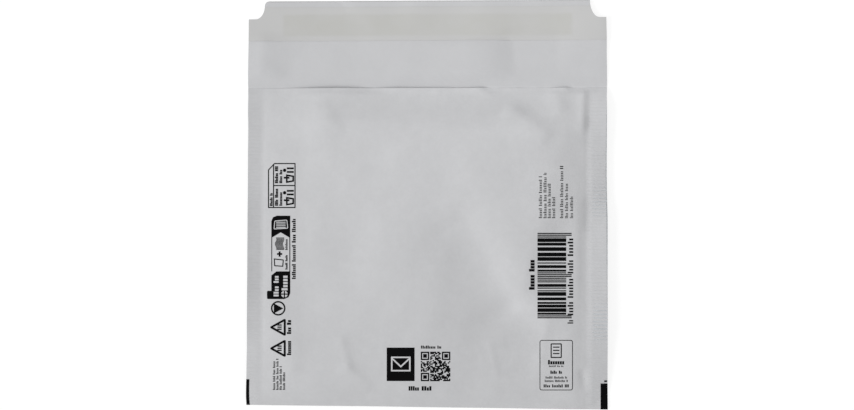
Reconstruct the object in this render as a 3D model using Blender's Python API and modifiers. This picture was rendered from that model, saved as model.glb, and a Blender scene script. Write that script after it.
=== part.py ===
"""Padded envelope, lying flat on its back panel with the flap open.

Metres, +Z up. The origin is at the middle of the object's box, on the surface that it lies on.
+X is the photograph's right, and +Y runs from the bottom fold to the flap's tip.

One sheet of paper is folded at the bottom, so that it makes the flap, the back panel and the
front panel. A pocket of bubble film lines it, and the film's welded sides hold the two paper
panels together. A strip of glue lies on the flap's inner face, under a release strip.
"""

import math

import bmesh
import bpy

# Overall sizes
ENVELOPE_WIDTH = 0.200
BODY_LENGTH = 0.178
FLAP_LENGTH = 0.048

# The sheet of paper
PAPER = 0.00015
CLEARANCE = 0.0003

# The side seams, where the film is welded and the paper is pressed flat
LEFT_SEAM = 0.0080
RIGHT_SEAM = 0.0110
WELD = 0.0003
SEAM_LIFT = 0.0024

# The bubble film: its full thickness, and the share of it left at the fold and at the cut mouth
BUBBLE_PANEL = 0.0020
PAD_REACH = 0.0160
FOLD_SHARE = 0.30
CUT_SHARE = 0.12
FOLD_EDGE = 0.0001

# The pocket: how far its panels part, and how far in from each side they have done so
POCKET_GAP = 0.0047
POCKET_RIM = 0.00006
FLANK = 0.0240
BOTTOM_REACH = 0.0300
MOUTH_REACH = 0.0360
MOUTH_MARGIN = 0.0020
RISE_POWER = 2.2

# The mouth lies shut but for one place where it gapes, in shares of the pocket's height
SHUT_SHARE = 0.06
GAPE_SHARE = 1.28
GAPE_X = -0.0510
GAPE_HALF_WIDTH = 0.0370

# The flap's corners: a shelf at the side, a hollow quarter turn and a round tip
NOTCH_WIDTH = 0.0091
NOTCH_DEPTH = 0.0102
NOTCH_SHELF = 0.0038
LEFT_TIP_ROUND = 0.0028
RIGHT_TIP_ROUND = 0.0006

# The strips on the flap's inner face
STRIP_THICKNESS = 0.0001
RELEASE_WIDTH = 0.0190
RELEASE_FROM_TIP = 0.0035
ADHESIVE_WIDTH = 0.0120
ADHESIVE_LENGTH = 0.1610
ADHESIVE_FROM_TIP = 0.0077

# Mesh steps
FLANK_STEPS = 7
MIDDLE_STEPS = 12
FLAP_STEPS = 2
END_STEPS = 9
BODY_STEPS = 7
TURN_STEPS = 8
ARC_STEPS = 8

# Worked out from the sizes above
TOTAL_LENGTH = BODY_LENGTH + FLAP_LENGTH
BOTTOM_Y = -TOTAL_LENGTH / 2
MOUTH_Y = BOTTOM_Y + BODY_LENGTH
TIP_Y = BOTTOM_Y + TOTAL_LENGTH
LEFT_WELD_X = -ENVELOPE_WIDTH / 2 + LEFT_SEAM
RIGHT_WELD_X = ENVELOPE_WIDTH / 2 - RIGHT_SEAM
PAPER_STANDOFF = CLEARANCE + PAPER / 2
LINER_BOTTOM_Y = BOTTOM_Y + PAPER / 2 + PAPER_STANDOFF
LINER_MOUTH_Y = MOUTH_Y - MOUTH_MARGIN
CUTTER_HEIGHT = 0.02


def clear_scene():
    """Removes every object of the scene."""
    for thing in list(bpy.data.objects):
        bpy.data.objects.remove(thing, do_unlink=True)


def make_collection(name):
    """Makes a collection under the scene's own."""
    group = bpy.data.collections.new(name)
    bpy.context.scene.collection.children.link(group)
    return group


def make_material(name, colour, roughness):
    """Makes a plain Principled material from a linear colour."""
    material = bpy.data.materials.new(name)
    material.use_nodes = True
    shader = material.node_tree.nodes["Principled BSDF"]
    shader.inputs["Base Color"].default_value = (*colour, 1.0)
    shader.inputs["Roughness"].default_value = roughness
    shader.inputs["Metallic"].default_value = 0.0
    return material


def finish_object(name, mesh_data, group, material):
    """Turns a bmesh into a smooth shaded object in a collection."""
    mesh = bpy.data.meshes.new(name)
    mesh_data.to_mesh(mesh)
    mesh_data.free()
    mesh.shade_smooth()
    mesh.set_sharp_from_angle(angle=math.radians(40))
    thing = bpy.data.objects.new(name, mesh)
    if material is not None:
        mesh.materials.append(material)
    group.objects.link(thing)
    return thing


def blend(low, high, share):
    """Gives the value that lies share of the way from low to high."""
    return low + (high - low) * share


def rise(distance, reach):
    """Gives how far a panel has risen at a distance in from its edge: 0 at the edge, 1 at reach."""
    share = min(max(distance / reach, 0.0), 1.0)
    return 1.0 - (1.0 - share) ** RISE_POWER


def from_side(x):
    """Gives the distance in from the nearer weld line."""
    return min(x - LEFT_WELD_X, RIGHT_WELD_X - x)


def from_bottom(y):
    """Gives the distance in from the liner's bottom."""
    return y - LINER_BOTTOM_Y


def from_mouth(y):
    """Gives the distance in from the liner's mouth."""
    return LINER_MOUTH_Y - y


def gape(x):
    """Gives how far the mouth's edge is open at x, from 0 to 1."""
    offset = min(abs(x - GAPE_X) / GAPE_HALF_WIDTH, 1.0)
    return (1.0 - offset**3) ** 2


def panel_thickness(x, y):
    """Gives one film panel's thickness: half the weld on the seams, full bubbles further in."""
    side = rise(from_side(x), PAD_REACH)
    bottom = blend(FOLD_SHARE, 1.0, rise(from_bottom(y), PAD_REACH))
    mouth = blend(CUT_SHARE, 1.0, rise(from_mouth(y), PAD_REACH))
    return blend(WELD / 2, BUBBLE_PANEL, side * bottom * mouth)


def half_pocket(x, y):
    """Gives half the height of the space between the film panels."""
    at_mouth = blend(SHUT_SHARE, GAPE_SHARE, gape(x))
    mouth = blend(at_mouth, 1.0, rise(from_mouth(y), MOUTH_REACH))
    return POCKET_GAP / 2 * rise(from_side(x), FLANK) * rise(from_bottom(y), BOTTOM_REACH) * mouth


def half_liner(x, y):
    """Gives half the liner's height, both panels and the space between them."""
    return panel_thickness(x, y) + half_pocket(x, y)


def back_height(x, y):
    """Gives the height of the back paper's middle surface, which lifts only at the seams."""
    along = rise(from_bottom(y), BOTTOM_REACH) * rise(from_mouth(y), MOUTH_REACH)
    return PAPER / 2 + SEAM_LIFT * along * (1.0 - rise(from_side(x), FLANK))


def middle_height(x, y):
    """Gives the height of the middle between the two panels."""
    return back_height(x, y) + PAPER_STANDOFF + half_liner(x, y)


def front_height(x, y):
    """Gives the height of the front paper's middle surface."""
    return middle_height(x, y) + half_liner(x, y) + PAPER_STANDOFF


def bow(distance, reach):
    """Gives the share of full height at a distance from a rounded end of a given reach."""
    if reach <= 0.0 or distance >= reach:
        return 1.0
    return math.sqrt(1.0 - (1.0 - max(distance, 0.0) / reach) ** 2)


def even_steps(start, end, count):
    """Gives count + 1 evenly spaced values from start to end."""
    return [blend(start, end, step / count) for step in range(count + 1)]


def eased_steps(start, end, count):
    """Gives count + 1 values that are closest together at the start."""
    return [blend(start, end, (step / count) ** 1.5) for step in range(count + 1)]


def inner_columns():
    """Gives the x of each column of points between the two weld lines."""
    left_flank = eased_steps(LEFT_WELD_X, LEFT_WELD_X + FLANK, FLANK_STEPS)
    right_flank = eased_steps(RIGHT_WELD_X, RIGHT_WELD_X - FLANK, FLANK_STEPS)
    middle = even_steps(left_flank[-1], right_flank[-1], MIDDLE_STEPS)
    return left_flank + middle[1:-1] + right_flank[::-1]


def all_columns():
    """Gives the columns of points over the whole width, with the seams."""
    return [-ENVELOPE_WIDTH / 2] + inner_columns() + [ENVELOPE_WIDTH / 2]


def body_rows(bottom, mouth):
    """Gives the y of each row from bottom to mouth, closest together at both ends."""
    bottom_end = eased_steps(bottom, LINER_BOTTOM_Y + BOTTOM_REACH, END_STEPS)
    mouth_end = eased_steps(mouth, LINER_MOUTH_Y - MOUTH_REACH, END_STEPS)
    middle = even_steps(bottom_end[-1], mouth_end[-1], BODY_STEPS)
    return bottom_end + middle[1:-1] + mouth_end[::-1]


def sheet_profile(x):
    """Gives the sheet's path at x as (y, z), from the flap's tip round to the front's edge."""
    reach = half_liner(x, LINER_BOTTOM_Y) + PAPER_STANDOFF
    fold_y = BOTTOM_Y + PAPER / 2 + reach
    rows = body_rows(fold_y, MOUTH_Y)
    path = [(y, PAPER / 2) for y in even_steps(TIP_Y, MOUTH_Y, FLAP_STEPS)[:-1]]
    path += [(y, back_height(x, y)) for y in reversed(rows)]
    low, high = back_height(x, fold_y), front_height(x, fold_y)
    for step in range(1, TURN_STEPS):
        turn = math.pi * step / TURN_STEPS
        y = fold_y - reach * math.sin(turn)
        path.append((y, blend(low, high, (1.0 - math.cos(turn)) / 2)))
    path += [(y, front_height(x, y)) for y in rows]
    return path


def make_folded_sheet(group, material):
    """Makes the paper: a grid laid along the sheet's path, then given its thickness."""
    columns = all_columns()
    profiles = [sheet_profile(x) for x in columns]
    across = len(columns) - 1
    along = len(profiles[0]) - 1
    data = bmesh.new()
    bmesh.ops.create_grid(data, x_segments=across, y_segments=along, size=1.0)
    for vertex in data.verts:
        column = round((vertex.co.x + 1) / 2 * across)
        row = round((vertex.co.y + 1) / 2 * along)
        y, z = profiles[column][row]
        vertex.co = (columns[column], y, z)
    paper = finish_object("paper_cover", data, group, material)
    thickness = paper.modifiers.new("paper thickness", "SOLIDIFY")
    thickness.thickness = PAPER
    thickness.offset = 0.0
    return paper


def make_lens(name, columns, rows, half_height, group, material=None):
    """Makes a closed slab whose two faces stand half_height(x, y) off the middle height."""
    across = len(columns) - 1
    along = len(rows) - 1
    data = bmesh.new()
    bmesh.ops.create_grid(data, x_segments=across, y_segments=along, size=1.0)
    raised = bmesh.ops.extrude_face_region(data, geom=data.faces[:], use_keep_orig=True)
    upper = {item for item in raised["geom"] if isinstance(item, bmesh.types.BMVert)}
    for vertex in data.verts:
        x = columns[round((vertex.co.x + 1) / 2 * across)]
        y = rows[round((vertex.co.y + 1) / 2 * along)]
        side = 1 if vertex in upper else -1
        vertex.co = (x, y, middle_height(x, y) + side * half_height(x, y))
    bmesh.ops.recalc_face_normals(data, faces=data.faces[:])
    return finish_object(name, data, group, material)


def liner_half_height(x, y):
    """Gives half the liner's height at a point, with its round bottom fold."""
    full = half_liner(x, y)
    return max(full * bow(from_bottom(y), full), FOLD_EDGE)


def pocket_half_height(x, y):
    """Gives half the height of the space inside the liner, closed at its sides and bottom."""
    return max(half_pocket(x, y), POCKET_RIM)


def cut_with(thing, cutter, name):
    """Adds a Boolean difference, which stays on the object."""
    cut = thing.modifiers.new(name, "BOOLEAN")
    cut.operation = "DIFFERENCE"
    cut.solver = "EXACT"
    cut.object = cutter


def make_liner(group, cutters, material):
    """Makes the film liner: a closed form with a round bottom, hollowed by the pocket."""
    rows = body_rows(LINER_BOTTOM_Y, LINER_MOUTH_Y)
    liner = make_lens("bubble_liner", all_columns(), rows, liner_half_height, group, material)
    pocket_bottom = LINER_BOTTOM_Y + panel_thickness(0.0, LINER_BOTTOM_Y)
    pocket_rows = body_rows(pocket_bottom, MOUTH_Y)
    pocket = make_lens("pocket_space", inner_columns(), pocket_rows, pocket_half_height, cutters)
    hide_cutter(pocket)
    cut_with(liner, pocket, "pocket")
    return liner


def hide_cutter(cutter):
    """Marks an object as a cutter: drawn as wire, never rendered."""
    cutter.hide_render = True
    cutter.display_type = "WIRE"


def quarter_arc(centre, radii, start):
    """Gives the points of a quarter of an ellipse, turning to the left from angle start."""
    points = []
    for step in range(ARC_STEPS + 1):
        angle = start + math.pi / 2 * step / ARC_STEPS
        points.append((centre[0] + radii[0] * math.cos(angle), centre[1] + radii[1] * math.sin(angle)))
    return points


def notch_outline(tip_round):
    """Gives a corner cut's outline, outwards and down from the corner of the flap at (0, 0)."""
    margin = NOTCH_WIDTH / 2
    hollow = (NOTCH_WIDTH - NOTCH_SHELF, NOTCH_DEPTH - tip_round)
    outline = [(-margin, -NOTCH_DEPTH)]
    outline += quarter_arc((NOTCH_SHELF, -tip_round), hollow, -math.pi / 2)
    tip_centre = (NOTCH_WIDTH + tip_round, -tip_round)
    tip = quarter_arc(tip_centre, (tip_round, tip_round), math.pi / 2)
    outline += list(reversed(tip))[1:]
    outline += [(NOTCH_WIDTH + tip_round, margin), (-margin, margin)]
    return outline


def make_notch_cutter(name, side, tip_round, cutters):
    """Makes the cutter of one of the flap's corners: side is -1 at the left, 1 at the right."""
    curve = bpy.data.curves.new(name, "CURVE")
    curve.dimensions = "2D"
    curve.fill_mode = "BOTH"
    curve.extrude = CUTTER_HEIGHT
    outline = notch_outline(tip_round)
    spline = curve.splines.new("POLY")
    spline.points.add(len(outline) - 1)
    for point, (inwards, up) in zip(spline.points, outline):
        x = side * (ENVELOPE_WIDTH / 2 - inwards)
        point.co = (x, TIP_Y + up, 0.0, 1.0)
    spline.use_cyclic_u = True
    guide = bpy.data.objects.new(name + "_curve", curve)
    cutters.objects.link(guide)
    depsgraph = bpy.context.evaluated_depsgraph_get()
    mesh = bpy.data.meshes.new_from_object(guide.evaluated_get(depsgraph))
    bpy.data.objects.remove(guide, do_unlink=True)
    data = bmesh.new()
    data.from_mesh(mesh)
    bmesh.ops.remove_doubles(data, verts=data.verts[:], dist=1e-6)
    bmesh.ops.recalc_face_normals(data, faces=data.faces[:])
    cutter = finish_object(name, data, cutters, None)
    hide_cutter(cutter)
    return cutter


def make_strip(name, length, width, from_tip, base, group, material):
    """Makes a flat strip on the flap, from_tip below its tip, with its underside at base."""
    data = bmesh.new()
    bmesh.ops.create_cube(data, size=1.0)
    centre = (0.0, TIP_Y - from_tip - width / 2, base + STRIP_THICKNESS / 2)
    bmesh.ops.scale(data, verts=data.verts[:], vec=(length, width, STRIP_THICKNESS))
    bmesh.ops.translate(data, verts=data.verts[:], vec=centre)
    return finish_object(name, data, group, material)


def main():
    """Builds the envelope's pieces."""
    clear_scene()
    group = make_collection("padded_envelope")
    cutters = make_collection("cutters")
    paper_white = make_material("paper_white", (0.56, 0.57, 0.58), 0.75)
    clear_film = make_material("clear_film", (0.70, 0.72, 0.74), 0.30)
    glue = make_material("glue", (0.50, 0.50, 0.45), 0.40)
    release_paper = make_material("release_paper", (0.54, 0.54, 0.53), 0.45)

    left_notch = make_notch_cutter("left_notch", -1, LEFT_TIP_ROUND, cutters)
    right_notch = make_notch_cutter("right_notch", 1, RIGHT_TIP_ROUND, cutters)

    paper = make_folded_sheet(group, paper_white)
    make_liner(group, cutters, clear_film)
    adhesive_base = PAPER + CLEARANCE
    release_base = adhesive_base + STRIP_THICKNESS + CLEARANCE
    make_strip(
        "adhesive_strip", ADHESIVE_LENGTH, ADHESIVE_WIDTH, ADHESIVE_FROM_TIP, adhesive_base, group, glue
    )
    release = make_strip(
        "release_strip", ENVELOPE_WIDTH, RELEASE_WIDTH, RELEASE_FROM_TIP, release_base, group, release_paper
    )
    for thing in (paper, release):
        cut_with(thing, left_notch, "left corner")
        cut_with(thing, right_notch, "right corner")


main()
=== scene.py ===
"""Looks of the padded envelope: the paper, the bubble film, the strips on the flap and the print.

Metres, +Z up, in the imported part's own frame. The envelope lies on its back panel with the flap
open. One sheet of paper is cut flat, folded at the bottom and shaped by its padding and creases,
so each layer is made flat first and is then carried onto the form that EnvelopeForm describes.
Sizes and places on the object are written in millimetres and multiplied by MM. The print is drawn
in pixels of the photograph, and each of its shapes is a named field.
"""

import logging
import math
import random
from collections.abc import Callable, Iterable
from dataclasses import dataclass, field, replace
from enum import Enum

import bpy
import numpy as np
from mathutils import Euler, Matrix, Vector

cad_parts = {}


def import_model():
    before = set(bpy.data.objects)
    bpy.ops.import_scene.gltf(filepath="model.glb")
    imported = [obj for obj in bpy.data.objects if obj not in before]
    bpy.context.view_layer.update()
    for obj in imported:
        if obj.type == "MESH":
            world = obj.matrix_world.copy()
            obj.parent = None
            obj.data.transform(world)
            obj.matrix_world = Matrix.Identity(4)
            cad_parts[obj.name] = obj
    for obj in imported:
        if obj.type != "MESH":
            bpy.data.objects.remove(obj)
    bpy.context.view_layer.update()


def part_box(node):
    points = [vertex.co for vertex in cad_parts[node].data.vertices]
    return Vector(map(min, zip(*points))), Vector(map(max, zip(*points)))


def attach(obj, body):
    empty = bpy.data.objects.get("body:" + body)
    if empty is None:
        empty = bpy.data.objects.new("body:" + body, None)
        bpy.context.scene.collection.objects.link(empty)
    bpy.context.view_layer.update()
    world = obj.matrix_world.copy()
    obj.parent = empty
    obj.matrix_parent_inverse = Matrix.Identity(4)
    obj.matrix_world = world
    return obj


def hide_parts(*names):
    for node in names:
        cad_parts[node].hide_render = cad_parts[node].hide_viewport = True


log = logging.getLogger("padded_envelope")

MM = 0.001
BODY = "root"
FILM_UNDER_MOUTH = 2.0 * MM
INK_THICKNESS = 0.015 * MM

Corner = tuple[float, float]
Colour = tuple[float, float, float]
Waves = tuple[tuple[float, float, float], ...]


# Working with Blender's operators


def deselect_all() -> None:
    """Deselects every object."""
    bpy.ops.object.select_all(action="DESELECT")


def make_active(thing: bpy.types.Object) -> None:
    """Selects one object alone and makes it the active one.

    Args:
        thing: The object.
    """
    deselect_all()
    thing.select_set(True)
    bpy.context.view_layer.objects.active = thing


def new_object(name: str) -> bpy.types.Object:
    """Names the object that an operator has just added, and its mesh.

    Args:
        name: The new name.

    Returns:
        The object.
    """
    thing = bpy.context.object
    thing.name = name
    thing.data.name = name
    return thing


def copy_of(thing: bpy.types.Object) -> bpy.types.Object:
    """Copies an object, with a mesh of its own.

    Args:
        thing: The object.

    Returns:
        The copy.
    """
    copy = thing.copy()
    copy.data = thing.data.copy()
    bpy.context.scene.collection.objects.link(copy)
    return copy


def edit(thing: bpy.types.Object, select: str = "SELECT") -> None:
    """Enters edit mode on one object.

    Args:
        thing: The mesh to edit.
        select: SELECT to start with everything selected, DESELECT for nothing.
    """
    make_active(thing)
    bpy.ops.object.mode_set(mode="EDIT")
    bpy.ops.mesh.select_all(action=select)


def leave_edit() -> None:
    """Goes back to object mode."""
    bpy.ops.object.mode_set(mode="OBJECT")


def select_edges(thing: bpy.types.Object, wanted: np.ndarray) -> None:
    """Selects some of a mesh's edges and enters edit mode in edge mode.

    Args:
        thing: The mesh.
        wanted: One True or False for each edge.
    """
    edit(thing, "DESELECT")
    bpy.ops.mesh.select_mode(type="EDGE")
    leave_edit()
    thing.data.edges.foreach_set("select", wanted)
    bpy.ops.object.mode_set(mode="EDIT")


def apply_modifier(thing: bpy.types.Object, kind: str, **settings: object) -> None:
    """Adds a modifier with its settings and applies it.

    Args:
        thing: The mesh that takes it.
        kind: The modifier's type, such as SOLIDIFY.
        **settings: The modifier's own settings.
    """
    make_active(thing)
    modifier = thing.modifiers.new(kind.lower(), kind)
    for name, value in settings.items():
        setattr(modifier, name, value)
    bpy.ops.object.modifier_apply(modifier=modifier.name)


def thicken(thing: bpy.types.Object, thickness: float, offset: float = 0.0) -> None:
    """Makes a flat mesh a closed sheet, evenly to both sides unless it has an offset."""
    apply_modifier(thing, "SOLIDIFY", thickness=thickness, offset=offset)


def face_outwards(thing: bpy.types.Object) -> None:
    """Merges the doubles of a closed mesh and turns its faces outwards.

    Args:
        thing: The mesh.
    """
    edit(thing)
    bpy.ops.mesh.remove_doubles(threshold=1e-7)
    bpy.ops.mesh.normals_make_consistent(inside=False)
    leave_edit()


def join(parts: list[bpy.types.Object], name: str) -> bpy.types.Object:
    """Joins several meshes into one.

    Args:
        parts: The meshes, of which at least one.
        name: The name of the joined one.

    Returns:
        The joined mesh, with its place, turn and scale in the mesh.
    """
    deselect_all()
    for part in parts:
        part.select_set(True)
    bpy.context.view_layer.objects.active = parts[0]
    bpy.ops.object.join()
    thing = new_object(name)
    make_active(thing)
    bpy.ops.object.transform_apply(location=True, rotation=True, scale=True)
    return thing


def read_points(thing: bpy.types.Object) -> np.ndarray:
    """Gives a mesh's points as rows of x, y and z.

    Args:
        thing: The mesh.

    Returns:
        One row for each point.
    """
    points = np.empty(len(thing.data.vertices) * 3)
    thing.data.vertices.foreach_get("co", points)
    return points.reshape(-1, 3)


def write_points(thing: bpy.types.Object, points: np.ndarray) -> None:
    """Moves a mesh's points to new rows of x, y and z."""
    thing.data.vertices.foreach_set("co", points.ravel())
    thing.data.update()


def raise_points(thing: bpy.types.Object, height: float | np.ndarray) -> None:
    """Moves a mesh's points up, all alike or each by its own height.

    Args:
        thing: The mesh.
        height: How far, in metres.
    """
    points = read_points(thing)
    points[:, 2] += height
    write_points(thing, points)


def shade_smooth(thing: bpy.types.Object, angle: float = 40.0) -> None:
    """Shades a mesh smooth up to an angle in degrees between its faces."""
    make_active(thing)
    bpy.ops.object.shade_smooth_by_angle(angle=math.radians(angle))


def add_disc(name: str, sides: int) -> bpy.types.Object:
    """Adds one round flat face of radius 1.

    Args:
        name: The new object's name.
        sides: How many points it has.

    Returns:
        The disc.
    """
    deselect_all()
    bpy.ops.mesh.primitive_circle_add(vertices=sides, radius=1.0, fill_type="NGON")
    return new_object(name)


def add_face(name: str, corners: Iterable[Corner]) -> bpy.types.Object:
    """Adds one flat face, from a disc whose points are moved to the corners, in metres.

    Args:
        name: The new object's name.
        corners: Its corners.

    Returns:
        The face.
    """
    places = np.array(list(corners))
    face = add_disc(name, len(places))
    points = read_points(face)
    points[:, :2] = places
    write_points(face, points)
    return face


def even(low: float, high: float, cells: int) -> list[float]:
    """Gives cells + 1 evenly spaced values from low to high."""
    return [low + (high - low) * step / cells for step in range(cells + 1)]


def add_flat_grid(name: str, columns: list[float], rows: list[float]) -> bpy.types.Object:
    """Adds a flat grid whose lines lie at given places.

    Args:
        name: The new object's name.
        columns: The x of each column of points.
        rows: The y of each row.

    Returns:
        The grid.
    """
    deselect_all()
    across, along = len(columns) - 1, len(rows) - 1
    bpy.ops.mesh.primitive_grid_add(x_subdivisions=across, y_subdivisions=along, size=2.0)
    grid = new_object(name)
    points = read_points(grid)
    column = np.rint((points[:, 0] + 1.0) / 2.0 * across).astype(int)
    row = np.rint((points[:, 1] + 1.0) / 2.0 * along).astype(int)
    points[:, 0] = np.array(columns)[column]
    points[:, 1] = np.array(rows)[row]
    write_points(grid, points)
    return grid


# The form that every layer follows


def soft_step(share: np.ndarray) -> np.ndarray:
    """Gives a step from 0 to 1, level at both ends, as its share goes from 0 to 1."""
    inside = np.clip(share, 0.0, 1.0)
    return inside * inside * (3.0 - 2.0 * inside)


def sum_of_waves(waves: Waves, place: np.ndarray) -> np.ndarray:
    """Adds up waves, each given as its height, its length for one radian in millimetres, and phase."""
    return sum(height * np.sin(place / (length * MM) + phase) for height, length, phase in waves)


@dataclass(frozen=True)
class Fold:
    """A soft ridge or valley in the paper, along a straight line. All sizes are millimetres.

    Attributes:
        start: Where the line starts, as x and y.
        end: Where it ends.
        height: How far it stands above the paper at its start, or below it if negative.
        left: How wide it is on the left of the line, looking from start to end.
        right: How wide it is on the right.
        end_height: The height at the end.
        fade: How softly it runs out past both ends.
        bluntness: 2 for a round top, less for a sharper one with flatter sides.
    """

    start: Corner
    end: Corner
    height: float
    left: float
    right: float
    end_height: float
    fade: float
    bluntness: float = 1.5

    def at(self, x: np.ndarray, y: np.ndarray) -> np.ndarray:
        """Gives the fold's own height.

        Args:
            x: The points' x, in metres.
            y: Their y.

        Returns:
            The height at each point, in metres.
        """
        first, last = np.array(self.start) * MM, np.array(self.end) * MM
        run = last - first
        length = float(np.hypot(*run))
        ahead = run / length
        along = (x - first[0]) * ahead[0] + (y - first[1]) * ahead[1]
        across = (y - first[1]) * ahead[0] - (x - first[0]) * ahead[1]
        reach = np.where(across > 0.0, self.left, self.right) * MM
        beyond = np.maximum(np.maximum(-along, along - length), 0.0) / (self.fade * MM)
        height = self.height + (self.end_height - self.height) * np.clip(along / length, 0.0, 1.0)
        return height * MM * np.exp(-(np.abs(across / reach) ** self.bluntness) - beyond**2)


FRONT_FOLDS = {
    "gape crest": Fold((-54.0, 63.0), (-53.5, 46.0), 1.7, 26.0, 12.0, 1.5, 5.0, 1.9),
    "gape hollow": Fold((-53.0, 58.0), (-44.5, 43.0), -0.7, 11.0, 5.0, -0.7, 5.0, 1.8),
    "left valley": Fold((-67.0, 30.0), (-66.0, -62.0), -1.8, 34.0, 14.0, -1.5, 14.0, 2.0),
    "lower left band": Fold((-74.0, -74.5), (-73.5, -92.0), 0.6, 5.0, 8.0, 0.6, 4.0),
    "upper ridge": Fold((28.0, 36.0), (30.0, -10.0), 1.0, 20.0, 16.0, 1.0, 12.0, 2.0),
    "faint ridge": Fold((-14.5, 29.5), (-13.5, -6.0), 0.4, 14.0, 10.0, 0.3, 8.0, 2.0),
    "right swell": Fold((83.0, -8.0), (83.0, -46.0), 0.7, 4.0, 10.0, 0.7, 10.0),
    "right hollow": Fold((75.0, -20.0), (74.0, -46.0), -1.9, 12.0, 16.0, -1.9, 12.0, 2.0),
    "low right hollow": Fold((68.0, -70.0), (66.0, -100.0), -2.2, 16.0, 50.0, -2.4, 12.0, 2.0),
    "diagonal crease": Fold((48.0, 50.5), (65.0, 38.0), 1.4, 5.0, 9.0, 1.1, 4.0, 1.8),
    "mouth buckle": Fold((32.0, 64.5), (35.0, 60.0), 0.5, 2.0, 3.0, 0.3, 2.0),
    "corner crest": Fold((71.0, 64.5), (73.0, 52.0), 1.2, 6.0, 5.0, 0.9, 3.0, 1.7),
    "pucker": Fold((87.8, 61.5), (87.3, 42.0), 1.5, 3.5, 4.0, 1.2, 3.0),
    "long valley": Fold((21.0, -12.0), (44.0, -55.0), -2.5, 13.0, 27.0, -3.6, 10.0, 1.8),
    "valley's foot": Fold((48.0, -62.0), (64.0, -77.0), -1.0, 12.0, 24.0, -1.4, 9.0, 2.0),
    "middle swell": Fold((-6.0, -26.0), (6.0, -72.0), 1.5, 22.0, 30.0, 1.2, 12.0, 2.0),
    "long ridge": Fold((64.0, -2.0), (51.5, -48.0), 1.4, 9.0, 22.0, 1.4, 9.0, 1.9),
    "fork crease": Fold((-46.0, -75.5), (-42.5, -90.0), 0.7, 3.0, 8.0, 0.7, 3.0),
    "fork tip": Fold((-42.5, -90.0), (-31.5, -101.0), 0.6, 2.2, 6.0, 0.4, 2.0),
    "thin wrinkle": Fold((35.5, -78.0), (39.5, -94.5), 0.25, 1.5, 1.5, 0.2, 2.0),
    "low bump": Fold((67.0, -64.5), (63.0, -87.5), 0.5, 4.0, 4.0, 0.5, 3.0),
    "hem wrinkle": Fold((87.0, -93.5), (88.5, -100.5), -1.0, 1.2, 2.2, -0.8, 2.0),
}

FLAP_FOLDS = {
    "left hump": Fold((-91.5, 90.0), (-92.0, 67.0), 1.5, 15.0, 7.0, 1.2, 4.0),
    "left valley": Fold((-50.0, 109.0), (-77.5, 74.5), -1.2, 14.0, 10.0, -0.9, 6.0, 1.3),
    "left tuck": Fold((-89.0, 74.0), (-93.5, 67.0), -0.3, 1.2, 1.2, -0.25, 1.5),
    "right valley": Fold((51.5, 92.0), (51.0, 67.0), -1.3, 24.0, 12.0, -1.3, 3.0, 1.6),
    "middle hump": Fold((32.0, 88.0), (33.0, 67.0), 1.5, 18.0, 34.0, 1.4, 4.0, 2.0),
    "right corner": Fold((99.0, 105.5), (99.0, 93.5), 1.2, 8.0, 16.0, 1.0, 6.0),
}


@dataclass(frozen=True)
class Cockle:
    """The slight waviness of paper that has been handled: many faint waves laid over each other.

    Attributes:
        shortest: The shortest wave, in millimetres.
        longest: The longest wave, in millimetres.
        steepness: The steepest slope of one wave.
        count: How many waves there are.
        seed: What the waves' directions are drawn from.
    """

    shortest: float = 11.0
    longest: float = 46.0
    steepness: float = 0.010
    count: int = 14
    seed: int = 5

    def at(self, x: np.ndarray, y: np.ndarray) -> np.ndarray:
        """Gives the waves' height.

        Args:
            x: The points' x, in metres.
            y: Their y.

        Returns:
            The height at each point, in metres.
        """
        draw = random.Random(self.seed)
        total = np.zeros_like(x)
        for _ in range(self.count):
            length = draw.uniform(self.shortest, self.longest) * MM
            angle = draw.uniform(0.0, math.pi)
            phase = draw.uniform(0.0, 2.0 * math.pi)
            along = (x * math.cos(angle) + y * math.sin(angle)) * 2.0 * math.pi / length
            total += self.steepness * length / (2.0 * math.pi) * np.sin(along + phase)
        return total


@dataclass(frozen=True)
class Crimp:
    """The ribs that the sealing jaws press across a side seam. All sizes are millimetres.

    Attributes:
        height: How far a rib stands above the seam's middle.
        pitch: From one rib to the next.
        from_mouth: How far under the mouth the ribs start.
        build_up: Over what length they grow to their full height.
        edge: Over what width they grow, outwards from the weld line.
        wander: The waves that shift the ribs along the seam.
        evenness: The share of their height that they keep everywhere.
        uneven: The waves that make them higher and lower.
    """

    height: float
    pitch: float = 2.0
    from_mouth: float = 4.0
    build_up: float = 20.0
    edge: float = 1.2
    wander: Waves = ((0.44, 9.0, 0.0), (0.3, 3.7, 1.3))
    evenness: float = 0.9
    uneven: Waves = ((0.15, 11.0, 0.6), (0.1, 4.1, 0.0))

    def at(self, outside: np.ndarray, y: np.ndarray, mouth_y: float) -> np.ndarray:
        """Gives the ribs' height.

        Args:
            outside: How far the points lie outside the weld line, in metres.
            y: Their y.
            mouth_y: The y of the mouth.

        Returns:
            The height at each point, in metres.
        """
        within = np.clip(outside / (self.edge * MM), 0.0, 1.0)
        grown = np.clip((mouth_y - self.from_mouth * MM - y) / (self.build_up * MM), 0.0, 1.0)
        wave = np.cos(2.0 * math.pi * (y / (self.pitch * MM)) + sum_of_waves(self.wander, y))
        height = self.height * MM * (self.evenness + sum_of_waves(self.uneven, y))
        return height * (1.0 + wave) * within * grown


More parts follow.
